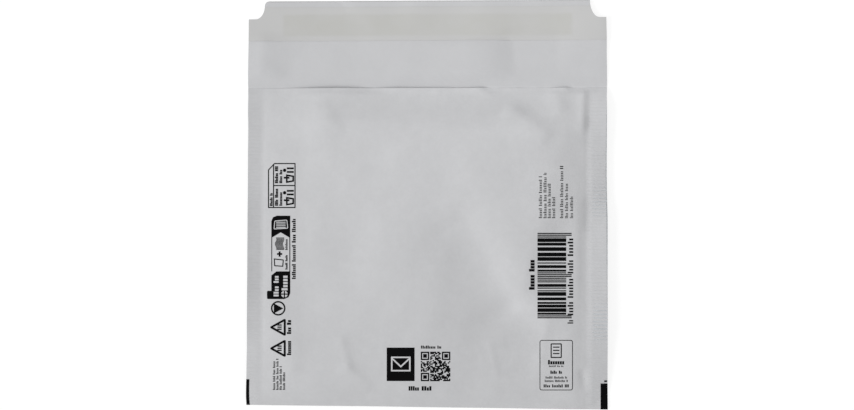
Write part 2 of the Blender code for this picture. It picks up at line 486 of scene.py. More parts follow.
@dataclass(frozen=True)
class EdgeLine:
    """How an edge of the paper wanders or curls: a smooth line through a few places along it.

    Attributes:
        places: Places along the edge, in millimetres and in rising order.
        offsets: How far the edge is moved, or stands up, there, in millimetres.
    """

    places: tuple[float, ...]
    offsets: tuple[float, ...]

    def at(self, along: np.ndarray) -> np.ndarray:
        """Gives the line's offset, in metres, at places given in metres.

        Args:
            along: The places.

        Returns:
            The offsets there.
        """
        places, offsets = np.array(self.places) * MM, np.array(self.offsets) * MM
        cell = np.clip(np.searchsorted(places, along) - 1, 0, len(places) - 2)
        share = (along - places[cell]) / (places[cell + 1] - places[cell])
        return offsets[cell] + (offsets[cell + 1] - offsets[cell]) * soft_step(share)


@dataclass(frozen=True)
class EnvelopeForm:
    """The folded envelope's sizes, in metres, and the surfaces that its layers follow.

    A place on the unfolded sheet is x, across the envelope, and run, the distance along the sheet
    from the bottom fold: up the front panel where positive, up the back panel and the flap where
    negative. A share is a part of the full size, from 0 to 1.

    Attributes:
        width, length: The envelope's size, with its flap.
        mouth_y: The y of the mouth, where the flap starts.
        left_seam, right_seam: The widths of the welded seams.
        paper, film: The thickness of the paper and of the film.
        standoff: How far a film panel lies inside the paper's middle.
        weld: A film panel's thickness where it is welded.
        weld_groove, groove_width: The depth and half width of the groove along each weld line.
        left_lift, right_lift: How far the back panel curves up towards each weld.
        front_cut: How far under the mouth the front panel's edge is cut.
        left_ease: How many times softer everything rises from the left weld.
        bubble_panel: A film panel's full thickness, with its bubbles.
        pad_reach: How far in from an edge the padding has it.
        fold_share, cut_share: The padding's share of it at the bottom fold and at the mouth.
        pocket_gap: The full height of the open pocket.
        flank, bottom_reach, mouth_reach: How far in from a weld, the bottom and the mouth it has it.
        twist, twist_span: How much the last two differ at the sides, and over what share of the width.
        rise_power: How round the panels' slopes are.
        shut_share, gape_share: How far the mouth stands open where it is shut and where it gapes.
        gape_x, gape_half_width: The gape's middle and half its width.
        left_crimp, right_crimp: The seams' ribs.
        left_curl, right_curl, curl_power: How far the sides stand up, and how sharply.
        cockle, cockle_shift: The paper's waves, and how far off on them the front panel is.
        lip: Over what length the front panel comes down onto its lip.
        lip_clearance, lip_gap: How far the lips lie apart at the least, and more along the mouth.
        side_slack, bottom_slack: Over what length the front folds grow in from the edges.
        weld_slack: The share of them that a weld keeps.
        flap_spring, spring_start, spring_reach: How far the flap springs up, and where.
        flap_rest, flap_grow: How high it lies without folds, and over what length those grow.
        flap_draw_in: How much shorter its bends make it.
        tip_bend: Over what length its tip bends down to the ground.
        left_edge, right_edge, bottom_edge: How the sides and the bottom fold wander.
        right_rim: How much further in the front panel's right side lies.
        tightest: The least radius of the bottom fold.
    """

    width: float
    length: float
    mouth_y: float
    left_seam: float = 9.0 * MM
    right_seam: float = 11.0 * MM
    paper: float = 0.15 * MM
    film: float = 0.08 * MM
    standoff: float = 0.12 * MM
    weld: float = 0.10 * MM
    weld_groove: float = 0.05 * MM
    groove_width: float = 0.9 * MM
    left_lift: float = 5.2 * MM
    right_lift: float = 4.0 * MM
    front_cut: float = 1.0 * MM
    left_ease: float = 1.5
    bubble_panel: float = 2.0 * MM
    pad_reach: float = 25.0 * MM
    fold_share: float = 0.30
    cut_share: float = 0.05
    pocket_gap: float = 4.4 * MM
    flank: float = 50.0 * MM
    bottom_reach: float = 31.0 * MM
    mouth_reach: float = 36.0 * MM
    twist: float = 0.45
    twist_span: float = 0.4
    rise_power: float = 2.0
    shut_share: float = 0.02
    gape_share: float = 0.5
    gape_x: float = -57.0 * MM
    gape_half_width: float = 29.0 * MM
    left_crimp: Crimp = Crimp(0.09)
    right_crimp: Crimp = Crimp(0.2)
    left_curl: EdgeLine = EdgeLine(
        (-113.0, -85.0, -65.0, -45.0, -10.0, 15.0, 30.0, 48.0, 60.0, 65.0),
        (-0.6, -0.4, 1.0, 1.9, 1.8, 1.0, 1.0, 1.6, 0.8, 0.0),
    )
    right_curl: EdgeLine = EdgeLine(
        (-113.0, -85.0, -60.0, -10.0, 5.0, 25.0, 40.0, 52.0),
        (-1.6, -1.2, 0.0, 0.0, -1.4, -1.3, -0.6, 0.0),
    )
    curl_power: float = 1.3
    cockle: Cockle = Cockle()
    cockle_shift: float = 400.0 * MM
    lip: float = 4.0 * MM
    lip_clearance: float = 0.03 * MM
    lip_gap: EdgeLine = EdgeLine(
        (-95.0, -87.0, -70.0, -32.0, -18.0, 2.0, 18.0, 29.0, 36.0, 51.0, 60.0, 67.0, 76.0, 82.0),
        (0.0, 0.25, 0.25, 0.4, 1.3, 1.1, 0.7, 1.1, 0.0, 0.15, 0.0, 0.1, 1.1, 0.0),
    )
    side_slack: float = 4.0 * MM
    weld_slack: float = 0.3
    bottom_slack: float = 6.0 * MM
    flap_spring: float = 0.45 * MM
    spring_start: float = 0.7 * MM
    spring_reach: float = 1.3 * MM
    flap_rest: float = 1.0 * MM
    flap_grow: float = 9.0 * MM
    flap_draw_in: float = 0.05 * MM
    tip_bend: float = 0.7 * MM
    left_edge: EdgeLine = EdgeLine(
        (-113.0, -95.0, -70.0, -40.0, 0.0, 40.0, 58.0, 66.0, 78.0, 92.0),
        (-0.2, 0.6, 0.9, 1.15, 1.15, 0.95, 0.3, -0.25, -0.1, 0.1),
    )
    right_edge: EdgeLine = EdgeLine(
        (-113.0, -90.0, -40.0, -12.0, 20.0, 58.0, 66.0, 85.0, 105.0),
        (0.45, 0.2, 0.0, 0.05, -0.4, -0.35, 0.0, -0.25, -0.6),
    )
    right_rim: EdgeLine = EdgeLine(
        (-75.0, -50.0, -10.0, 20.0, 45.0, 62.0),
        (0.0, 0.35, 0.6, 0.5, 0.35, 0.0),
    )
    bottom_edge: EdgeLine = EdgeLine((-90.0, -40.0, 20.0, 98.0), (0.0, 0.0, -0.27, -0.6))
    tightest: float = 0.02 * MM

    @property
    def bottom_y(self) -> float:
        """The y of the bottom fold's outside."""
        return -self.length / 2.0

    @property
    def tip_y(self) -> float:
        """The y of the flap's tip."""
        return self.length / 2.0

    @property
    def body_length(self) -> float:
        """The length of the pocket's two panels."""
        return self.mouth_y - self.bottom_y

    @property
    def flap_length(self) -> float:
        """The length of the flap, past the mouth."""
        return self.tip_y - self.mouth_y

    @property
    def left_weld(self) -> float:
        """The x of the left seam's inner edge."""
        return -self.width / 2.0 + self.left_seam

    @property
    def right_weld(self) -> float:
        """The x of the right seam's inner edge."""
        return self.width / 2.0 - self.right_seam

    def bottom_line(self, x: np.ndarray) -> np.ndarray:
        """Gives the y of the bottom fold's outside, which isn't quite level."""
        return self.bottom_y + self.bottom_edge.at(x)

    def reach(self, mean: float, x: np.ndarray) -> np.ndarray:
        """Gives the length of a panel's end slope, which the padding's twist varies across x."""
        return mean * (1.0 + self.twist * np.clip(x / (self.twist_span * self.width), -1.0, 1.0))

    def rise(self, distance: np.ndarray, reach: float | np.ndarray) -> np.ndarray:
        """Gives how far a panel has risen at a distance in from its edge, from 0 to 1 at reach."""
        return 1.0 - (1.0 - np.clip(distance / reach, 0.0, 1.0)) ** self.rise_power

    def from_side(self, x: np.ndarray) -> np.ndarray:
        """Gives the distance in from the nearer weld line, less on the softer left side."""
        return np.minimum((x - self.left_weld) / self.left_ease, self.right_weld - x)

    def from_bottom(self, x: np.ndarray, y: np.ndarray) -> np.ndarray:
        """Gives the distance up from the bottom fold's outside."""
        return y - self.bottom_line(x)

    def from_mouth(self, y: np.ndarray) -> np.ndarray:
        """Gives the distance down from the front panel's cut edge."""
        return self.mouth_y - self.front_cut - y

    def into_seams(self, x: np.ndarray) -> tuple[np.ndarray, np.ndarray]:
        """Gives how far into the left and the right seam places lie, from 0 to 1 at its outer edge."""
        on_left = np.clip((self.left_weld - x) / self.left_seam, 0.0, 1.0)
        return on_left, np.clip((x - self.right_weld) / self.right_seam, 0.0, 1.0)

    def panel(self, x: np.ndarray, y: np.ndarray) -> np.ndarray:
        """Gives one film panel's thickness, thinner at the welds, the fold and the mouth.

        Args:
            x: The points' x.
            y: Their y.

        Returns:
            The thickness at each point.
        """
        side = self.rise(self.from_side(x), self.pad_reach)
        bottom = self.rise(self.from_bottom(x, y), self.pad_reach)
        mouth = soft_step(self.from_mouth(y) / self.pad_reach)
        bottom = self.fold_share + (1.0 - self.fold_share) * bottom
        mouth = self.cut_share + (1.0 - self.cut_share) * mouth
        return self.weld + (self.bubble_panel - self.weld) * side * bottom * mouth

    def half_pocket(self, x: np.ndarray, y: np.ndarray) -> np.ndarray:
        """Gives half the height of the open space between the film panels.

        Args:
            x: The points' x.
            y: Their y.

        Returns:
            Half the height at each point.
        """
        offset = np.minimum(np.abs(x - self.gape_x) / self.gape_half_width, 1.0)
        at_mouth = self.shut_share + (self.gape_share - self.shut_share) * (1.0 - offset**2) ** 2
        opened = soft_step(self.from_mouth(y) / self.reach(self.mouth_reach, -x))
        mouth = at_mouth + (1.0 - at_mouth) * opened
        side = self.rise(self.from_side(x), self.flank)
        bottom = self.rise(self.from_bottom(x, y), self.reach(self.bottom_reach, x))
        return self.pocket_gap / 2.0 * side * bottom * mouth

    def ribs(self, x: np.ndarray, y: np.ndarray) -> np.ndarray:
        """Gives the height of the crimped ribs, which run across both side seams."""
        left = self.left_crimp.at(self.left_weld - x, y, self.mouth_y)
        return left + self.right_crimp.at(x - self.right_weld, y, self.mouth_y)

    def flap_relief(self, x: np.ndarray, y: np.ndarray) -> np.ndarray:
        """Gives how far the flap stands off the ground.

        Args:
            x: The points' x.
            y: Their y.

        Returns:
            The height at each point, which is 0 on the pocket's side of the mouth.
        """
        from_fold = y - self.mouth_y
        sprung = soft_step((from_fold + self.spring_start) / self.spring_reach)
        relief = sum((fold.at(x, y) for fold in FLAP_FOLDS.values()), np.zeros_like(x))
        relief += self.cockle.at(x, y) + self.flap_rest
        relief = np.maximum(relief, 0.0) * soft_step(from_fold / self.flap_grow)
        relief = np.maximum(relief, self.flap_spring * sprung)
        return relief * soft_step((self.tip_y - y) / self.tip_bend)

    def back(self, x: np.ndarray, y: np.ndarray) -> np.ndarray:
        """Gives the height of the middle of the back panel's paper, or of the flap's.

        Args:
            x: The points' x.
            y: Their y.

        Returns:
            The height at each point.
        """
        bottom = self.rise(self.from_bottom(x, y), self.reach(self.bottom_reach, x))
        mouth = self.rise(self.mouth_y - y, self.reach(self.mouth_reach, -x))
        lift = np.where(x < 0.0, self.left_lift, self.right_lift)
        lifted = lift * bottom * mouth * (1.0 - self.rise(self.from_side(x), self.flank))
        on_left, on_right = (share**self.curl_power for share in self.into_seams(x))
        curled = on_left * self.left_curl.at(y) + on_right * self.right_curl.at(y)
        return self.paper / 2.0 + np.maximum(lifted + curled, 0.0) + self.flap_relief(x, y)

    def front(self, x: np.ndarray, y: np.ndarray) -> np.ndarray:
        """Gives the height of the middle of the front panel's paper, with its folds.

        Args:
            x: The points' x.
            y: Their y.

        Returns:
            The height at each point.
        """
        padding = 2.0 * (self.panel(x, y) + self.standoff)
        shut = self.paper + self.lip_clearance + self.lip_gap.at(x)
        from_lip = soft_step(self.from_mouth(y) / self.lip)
        padding += (1.0 - from_lip) * (shut - padding)
        between = padding + 2.0 * self.half_pocket(x, y)
        relief = sum((fold.at(x, y) for fold in FRONT_FOLDS.values()), np.zeros_like(x))
        relief += self.cockle.at(x + self.cockle_shift, y)
        slack = np.clip(self.from_side(x) / self.side_slack + self.weld_slack, 0.0, 1.0)
        slack = slack * np.clip(self.from_bottom(x, y) / self.bottom_slack, 0.0, 1.0) * from_lip
        welds = (self.left_weld, self.right_weld)
        groove = sum(np.exp(-(((x - weld) / self.groove_width) ** 2)) for weld in welds)
        return self.back(x, y) + between + relief * slack - self.weld_groove * groove

    def place(self, x: np.ndarray, run: np.ndarray, inset: float = 0.0) -> np.ndarray:
        """Carries places on the unfolded sheet onto the folded envelope.

        Args:
            x: Across the envelope.
            run: Along the sheet from the bottom fold.
            inset: How far inside the paper's middle the layer lies.

        Returns:
            Rows of x, y and z.
        """
        bottom = self.bottom_line(x)
        reach = self.panel(x, bottom) + self.half_pocket(x, bottom) + self.standoff - inset
        reach = np.maximum(reach, self.tightest)
        outer_y = bottom + self.paper / 2.0 + inset
        quarter = reach * math.pi / 2.0
        distance = np.abs(run)
        turn = np.minimum(distance / reach, math.pi / 2.0)
        edge_y = self.mouth_y - np.where(run > 0.0, self.front_cut, 0.0)
        stretch = (edge_y - outer_y - reach) / (self.body_length - quarter)
        panel_y = outer_y + reach + (distance - quarter) * stretch
        beyond = (distance - self.body_length) * (1.0 - self.flap_draw_in / self.flap_length)
        y = np.where(distance < quarter, outer_y + reach * (1.0 - np.cos(turn)), panel_y)
        y = np.where(run < -self.body_length, self.mouth_y + beyond, y)
        straight = np.maximum(y, outer_y + reach)
        low = self.back(x, straight) + inset
        high = self.front(x, straight) - inset
        share = (1.0 + np.sign(run) * np.sin(turn)) / 2.0
        z = low + (high - low) * share + self.ribs(x, y)
        on_left, on_right = self.into_seams(x)
        aside = on_left * self.left_edge.at(y) + on_right * self.right_edge.at(y)
        aside = aside - np.where(run > 0.0, on_right * self.right_rim.at(y), 0.0)
        return np.stack([x + aside, y, z], axis=1)

    def normals(self, x: np.ndarray, run: np.ndarray, inset: float = 0.0) -> np.ndarray:
        """Finds which way is out of the envelope at places on the unfolded sheet.

        Args:
            x: Across the envelope.
            run: Along the sheet from the bottom fold.
            inset: How far inside the paper's middle the layer lies.

        Returns:
            Rows of x, y and z, of length 1.
        """
        step = 0.02 * MM
        across = self.place(x + step, run, inset) - self.place(x - step, run, inset)
        along = self.place(x, run + step, inset) - self.place(x, run - step, inset)
        outwards = np.cross(across, along)
        return outwards / np.linalg.norm(outwards, axis=1, keepdims=True)

    def fold_up(self, thing: bpy.types.Object, inset: float = 0.0) -> None:
        """Folds a flat mesh, made at x, run and height over the sheet, into its place.

        Args:
            thing: The flat mesh.
            inset: How far inside the paper's middle its zero height lies.
        """
        flat = read_points(thing)
        x, run, height = flat[:, 0], flat[:, 1], flat[:, 2:3]
        write_points(thing, self.place(x, run, inset) + self.normals(x, run, inset) * height)


# Building shaders


class Wire:
    """A shader socket that can be used in sums. Each operator adds its Math node."""

    def __init__(self, shader: "ShaderBoard", socket: bpy.types.NodeSocket) -> None:
        """Wraps a socket of one material's nodes."""
        self.shader = shader
        self.socket = socket

    def _math(self, operation: str, *values: "Wire | float") -> "Wire":
        """Adds a Math node and gives its result."""
        return self.shader.result("ShaderNodeMath", dict(enumerate(values)), operation=operation)

    def __add__(self, other: "Wire | float") -> "Wire":
        """Adds."""
        return self._math("ADD", self, other)

    def __sub__(self, other: "Wire | float") -> "Wire":
        """Subtracts."""
        return self._math("SUBTRACT", self, other)

    def __rsub__(self, other: float) -> "Wire":
        """Subtracts this from a number."""
        return self._math("SUBTRACT", other, self)

    def __mul__(self, other: "Wire | float") -> "Wire":
        """Multiplies."""
        return self._math("MULTIPLY", self, other)

    def __truediv__(self, other: "Wire | float") -> "Wire":
        """Divides."""
        return self._math("DIVIDE", self, other)

    def clamp(self) -> "Wire":
        """Keeps the value between 0 and 1."""
        return self.shader.result("ShaderNodeClamp", {"Value": self})

    def absolute(self) -> "Wire":
        """Drops the sign."""
        return self._math("ABSOLUTE", self)

    def larger(self, other: "Wire | float") -> "Wire":
        """Gives the larger of two values."""
        return self._math("MAXIMUM", self, other)

    __radd__ = __add__
    __rmul__ = __mul__


@dataclass(frozen=True)
class Grain:
    """A noise in a surface.

    Attributes:
        size: The size of its patches, in millimetres.
        seed: Another seed gives another noise.
        detail: How many finer noises lie over it.
        roughness: How strong those are.
    """

    size: float
    seed: float
    detail: float = 3.0
    roughness: float = 0.6


class ShaderBoard:
    """The nodes of one material, or of the world."""

    def __init__(self, tree: bpy.types.NodeTree) -> None:
        """Starts with an empty tree."""
        self.tree = tree
        tree.nodes.clear()

    def add(self, kind: str, inputs: dict[str | int, object], **settings: object) -> bpy.types.Node:
        """Adds a node.

        Args:
            kind: The node's type.
            inputs: The value or link of each of its sockets, by name or place.
            **settings: Its own settings, which are set before its sockets.

        Returns:
            The node.
        """
        node = self.tree.nodes.new(kind)
        for name, value in settings.items():
            setattr(node, name, value)
        for place, value in inputs.items():
            if isinstance(value, Wire):
                self.tree.links.new(value.socket, node.inputs[place])
            else:
                node.inputs[place].default_value = value
        return node

    def result(
        self, kind: str, inputs: dict[str | int, object], output: str | int = 0, **settings: object
    ) -> Wire:
        """Adds a node and gives one of its outputs."""
        return Wire(self, self.add(kind, inputs, **settings).outputs[output])

    def place(self) -> Wire:
        """Gives the Object coordinates, which are the part's own metres."""
        return self.result("ShaderNodeTexCoord", {}, "Object")

    def axes(self) -> tuple[Wire, Wire]:
        """Gives the Object coordinates' x and y."""
        node = self.add("ShaderNodeSeparateXYZ", {0: self.place()})
        return Wire(self, node.outputs[0]), Wire(self, node.outputs[1])

    def noise(self, grain: Grain) -> Wire:
        """Gives a noise from 0 to 1, about 0.5.

        Args:
            grain: The noise's sizes.

        Returns:
            The noise.
        """
        inputs = {"Vector": self.place(), "W": grain.seed, "Scale": 1.0 / (grain.size * MM)}
        inputs |= {"Detail": grain.detail, "Roughness": grain.roughness}
        return self.result("ShaderNodeTexNoise", inputs, noise_dimensions="4D")

    def mix(self, factor: Wire, first: object, second: object) -> Wire:
        """Goes from one colour to another by a factor."""
        inputs = {0: factor, 6: first, 7: second}
        return self.result("ShaderNodeMix", inputs, 2, data_type="RGBA", clamp_factor=True)

    def bump(self, height: Wire, distance: float) -> Wire:
        """Gives a normal bumped by a height from 0 to 1, times a distance in millimetres."""
        return self.result("ShaderNodeBump", {"Height": height, "Distance": distance * MM}, "Normal")

    def band(self, axis: Wire, low: float, high: float, soft: float) -> Wire:
        """Gives 1 where an axis lies between two values, and 0 outside, with soft ends."""
        middle, half = (low + high) / 2.0, (high - low) / 2.0
        return ((half - (axis - middle).absolute()) / soft + 0.5).clamp()

    def finish(self, surface: bpy.types.Node, output: str = "ShaderNodeOutputMaterial") -> None:
        """Links a shader to an output of a kind."""
        node = self.tree.nodes.new(output)
        self.tree.links.new(surface.outputs[0], node.inputs["Surface"])


def linear(red: float, green: float, blue: float) -> tuple[float, float, float, float]:
    """Turns a colour of 0 to 255, as a screen shows it, into linear light.

    Args:
        red: Its red.
        green: Its green.
        blue: Its blue.

    Returns:
        The red, green, blue and an alpha of 1.
    """
    shares = (value / 255.0 for value in (red, green, blue))
    light = [share / 12.92 if share <= 0.04045 else ((share + 0.055) / 1.055) ** 2.4 for share in shares]
    return (*light, 1.0)


@dataclass(frozen=True)
class Finish:
    """A surface's finish. Its tones are colours of 0 to 255 and its depths are millimetres.

    Attributes:
        name: The material's name.
    """

    name: str

    def sockets(self, board: ShaderBoard) -> dict[str, object]:
        """Gives each socket's value or link, by name."""
        raise NotImplementedError

    def make(self) -> bpy.types.Material:
        """Makes the material.

        Returns:
            The material.
        """
        material = bpy.data.materials.new(self.name)
        material.use_nodes = True
        board = ShaderBoard(material.node_tree)
        board.finish(board.add("ShaderNodeBsdfPrincipled", self.sockets(board)))
        return material


@dataclass(frozen=True)
class PaperFinish(Finish):
    """Matt white paper: faint clouds in its tone, fibres and a fine tooth.

    Attributes:
        mouth_y: The y of the mouth, past which the flap shows the paper's inner face.
        light: The outer face's lighter tone.
        dark: Its darker tone.
        inside: A darker tone that half covers the paper on the flap, past the mouth.
        clouds: The slow changes of tone.
        fibres: The fibres.
        flecks: The small changes of tone and height between them.
        tooth: The finest roughness.
        roughness: The mean roughness of its shine.
        depth: The depth of its surface.
    """

    mouth_y: float
    light: Colour = (202.0, 202.5, 204.5)
    dark: Colour = (197.0, 197.5, 199.5)
    inside: Colour = (191.0, 191.5, 193.5)
    clouds: Grain = Grain(26.0, 1.0, roughness=0.55)
    fibres: Grain = Grain(1.5, 2.0)
    flecks: Grain = Grain(4.5, 11.0)
    tooth: Grain = Grain(0.45, 3.0, detail=2.0)
    roughness: float = 0.72
    depth: float = 0.05

    def sockets(self, board: ShaderBoard) -> dict[str, object]:
        """Gives each socket's value or link, by name.

        Args:
            board: The shader's nodes.

        Returns:
            The sockets by name.
        """
        fibres, flecks = board.noise(self.fibres), board.noise(self.flecks)
        tone = (board.noise(self.clouds) * 1.4 + flecks * 2.0 + fibres * 1.4 - 1.9).clamp()
        outside = board.mix(tone, linear(*self.dark), linear(*self.light))
        on_flap = ((board.axes()[1] - self.mouth_y) / (0.3 * MM) + 0.5).clamp()
        height = fibres * 0.8 + flecks * 2.4 + board.noise(self.tooth) * 0.3
        return {
            # Past the mouth the paper is mixed halfway towards the darker inside tone, so the whole flap
            # is darker.
            "Base Color": board.mix(on_flap * 0.5, outside, linear(*self.inside)),
            "Roughness": fibres * 0.12 + (self.roughness - 0.06),
            "Specular IOR Level": 0.35,
            "Normal": board.bump(height, self.depth),
        }


@dataclass(frozen=True)
class ReleaseFinish(Finish):
    """Smooth coated release paper, with the glue showing through it as a darker, warmer band.

    Attributes:
        band_x: Where the glue's band starts and ends across the flap, in metres.
        band_y: Where it starts and ends along the flap.
        light: The paper's lighter tone.
        dark: Its darker tone.
        glue: The tone of the band.
        clouds: The slow changes of tone.
        wander: How the band's edges wander.
        wander_width: How far they do, in metres.
        soft_x: How soft the band's ends are, in metres.
        soft_y: How soft its long edges are.
        wetness: Where the glue touches the paper more, or less.
        streaks: The streaks of the coating.
        depth: The depth of its surface.
    """

    band_x: tuple[float, float]
    band_y: tuple[float, float]
    light: Colour = (194.0, 194.0, 193.5)
    dark: Colour = (188.0, 188.0, 188.0)
    glue: Colour = (181.0, 181.0, 176.0)
    clouds: Grain = Grain(22.0, 4.0, roughness=0.5)
    wander: Grain = Grain(9.0, 5.0)
    wander_width: float = 1.6 * MM
    soft_x: float = 2.0 * MM
    soft_y: float = 1.6 * MM
    wetness: Grain = Grain(14.0, 6.0, detail=4.0)
    streaks: Grain = Grain(0.9, 7.0, detail=2.0, roughness=0.5)
    depth: float = 0.03

    def sockets(self, board: ShaderBoard) -> dict[str, object]:
        """Gives each socket's value or link, by name.

        Args:
            board: The shader's nodes.

        Returns:
            The sockets by name.
        """
        x, y = board.axes()
        paper = board.mix(board.noise(self.clouds), linear(*self.dark), linear(*self.light))
        wander = board.noise(self.wander) * self.wander_width - self.wander_width / 2.0
        across = board.band(x + wander, *self.band_x, self.soft_x)
        along = board.band(y + wander, *self.band_y, self.soft_y)
        wetness = (board.noise(self.wetness) * 2.4 - 0.5).clamp()
        glue = across * along * (wetness * 0.4 + 0.2)
        return {
            "Base Color": board.mix(glue, paper, linear(*self.glue)),
            "Roughness": 0.5 - glue * 0.1,
            "Specular IOR Level": 0.4,
            "Normal": board.bump(board.noise(self.streaks) + glue * 1.5, self.depth),
        }


@dataclass(frozen=True)
class GlueFinish(Finish):
    """Clear, slightly yellow glue that stays tacky: smooth, with streaks from its coating."""

    light: Colour = (190.0, 189.0, 176.0)
    dark: Colour = (178.0, 177.0, 162.0)
    grain: Grain = Grain(4.0, 8.0)
    depth: float = 0.04

    def sockets(self, board: ShaderBoard) -> dict[str, object]:
        """Gives each socket's value or link, by name."""
        streaks = board.noise(self.grain)
        return {
            "Base Color": board.mix(streaks, linear(*self.dark), linear(*self.light)),
            "Roughness": streaks * 0.2 + 0.2,
            "Normal": board.bump(streaks, self.depth),
        }


@dataclass(frozen=True)
class FilmFinish(Finish):
    """Clear bubble film: glossy, a little milky where it is thick, and finely scuffed."""

    light: Colour = (228.0, 231.0, 234.0)
    dark: Colour = (214.0, 218.0, 222.0)
    grain: Grain = Grain(5.0, 9.0)
    depth: float = 0.05

    def sockets(self, board: ShaderBoard) -> dict[str, object]:
        """Gives each socket's value or link, by name."""
        haze = board.noise(self.grain)
        return {
            "Base Color": board.mix(haze, linear(*self.dark), linear(*self.light)),
            "Roughness": haze * 0.16 + 0.14,
            "Alpha": haze * 0.2 + 0.4,
            "IOR": 1.5,
            "Normal": board.bump(haze, self.depth),
        }


@dataclass(frozen=True)
class InkFinish(Finish):
    """Matt black ink, printed thinly enough that the paper's fibres lighten it here and there."""

    light: Colour = (14.0, 14.0, 15.0)
    dark: Colour = (2.0, 2.0, 3.0)
    grain: Grain = Grain(0.8, 10.0)

    def sockets(self, board: ShaderBoard) -> dict[str, object]:
        """Gives each socket's value or link, by name."""
        starved = (board.noise(self.grain) * 3.0 - 1.6).clamp()
        return {
            "Base Color": board.mix(starved, linear(*self.dark), linear(*self.light)),
            "Roughness": starved * 0.2 + 0.65,
            "Specular IOR Level": 0.05,
        }


# The paper, the film and the strips


@dataclass(frozen=True)
class CornerCut:
    """The cut at one of the flap's corners: a shelf, a hollow quarter turn and the flap's tip.

    Attributes:
        side: -1 at the left, 1 at the right.
        width: How far in from the side the tip starts, in metres.
        depth: How far down from the tip the shelf lies.
        shelf: How long the shelf's straight part is.
        tip_round: The round of the tip's corner.
        steps: How many steps the hollow turn has. The tip's round has half as many.
        cutter_depth: How far the cutter reaches below the sheet, and above it.
    """

    side: int
    width: float = 9.1 * MM
    depth: float = 10.2 * MM
    shelf: float = 3.8 * MM
    tip_round: float = 2.8 * MM
    steps: int = 14
    cutter_depth: float = 5.0 * MM

    def outline(self) -> list[Corner]:
        """Gives the cutter's outline, inwards and down from the flap's corner.

        Returns:
            The outline's corners, in metres.
        """
        margin = self.width / 2.0
        corners = [(-margin, margin), (-margin, -self.depth), (self.shelf, -self.depth)]
        hollow_x, hollow_y = self.width - self.shelf, self.depth - self.tip_round
        for step in range(1, self.steps + 1):
            angle = math.pi / 2.0 * step / self.steps
            inwards = self.shelf + hollow_x * math.sin(angle)
            corners.append((inwards, -self.tip_round - hollow_y * math.cos(angle)))
        for step in range(1, self.steps // 2 + 1):
            angle = math.pi / self.steps * step
            inwards = self.width + self.tip_round * (1.0 - math.cos(angle))
            corners.append((inwards, -self.tip_round * (1.0 - math.sin(angle))))
        corners.append((self.width + self.tip_round, margin))
        return corners

    def make_cutter(self, form: EnvelopeForm) -> bpy.types.Object:
        """Makes the cutter, standing at the corner of the unfolded sheet.

        Args:
            form: The envelope's form.

        Returns:
            The cutter.
        """
        half, tip = form.width / 2.0, -(form.body_length + form.flap_length)
        corners = [(self.side * (half - inwards), tip - up) for inwards, up in self.outline()]
        cutter = add_face("corner_cutter", corners)
        raise_points(cutter, -self.cutter_depth)
        edit(cutter)
        height = (0.0, 0.0, 2.0 * self.cutter_depth)
        bpy.ops.mesh.extrude_region_move(TRANSFORM_OT_translate={"value": height})
        leave_edit()
        face_outwards(cutter)
        return cutter


CORNER_CUTS = (CornerCut(-1), CornerCut(1, width=9.45 * MM, depth=9.95 * MM, tip_round=0.6 * MM))


def cut_corners(thing: bpy.types.Object, form: EnvelopeForm) -> None:
    """Cuts both of the flap's corners from a flat layer.

    Args:
        thing: The flat layer.
        form: The envelope's form.
    """
    for cut in CORNER_CUTS:
        cutter = cut.make_cutter(form)
        apply_modifier(thing, "BOOLEAN", object=cutter, operation="DIFFERENCE", solver="EXACT")
        bpy.data.objects.remove(cutter, do_unlink=True)


def dress(thing: bpy.types.Object, material: bpy.types.Material, slot: str, *nodes: str) -> None:
    """Gives a finished piece its material and body, and logs its slot.

    Args:
        thing: The piece.
        material: Its material.
        slot: The record's material slot that it stands for, which is only logged.
        *nodes: The CAD nodes that it stands for.
    """
    thing.data.materials.clear()
    thing.data.materials.append(material)
    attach(thing, BODY)
    if nodes:
        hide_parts(*nodes)
    thing.data.calc_loop_triangles()
    log.info("%s: %d triangles, slot %s", thing.name, len(thing.data.loop_triangles), slot)


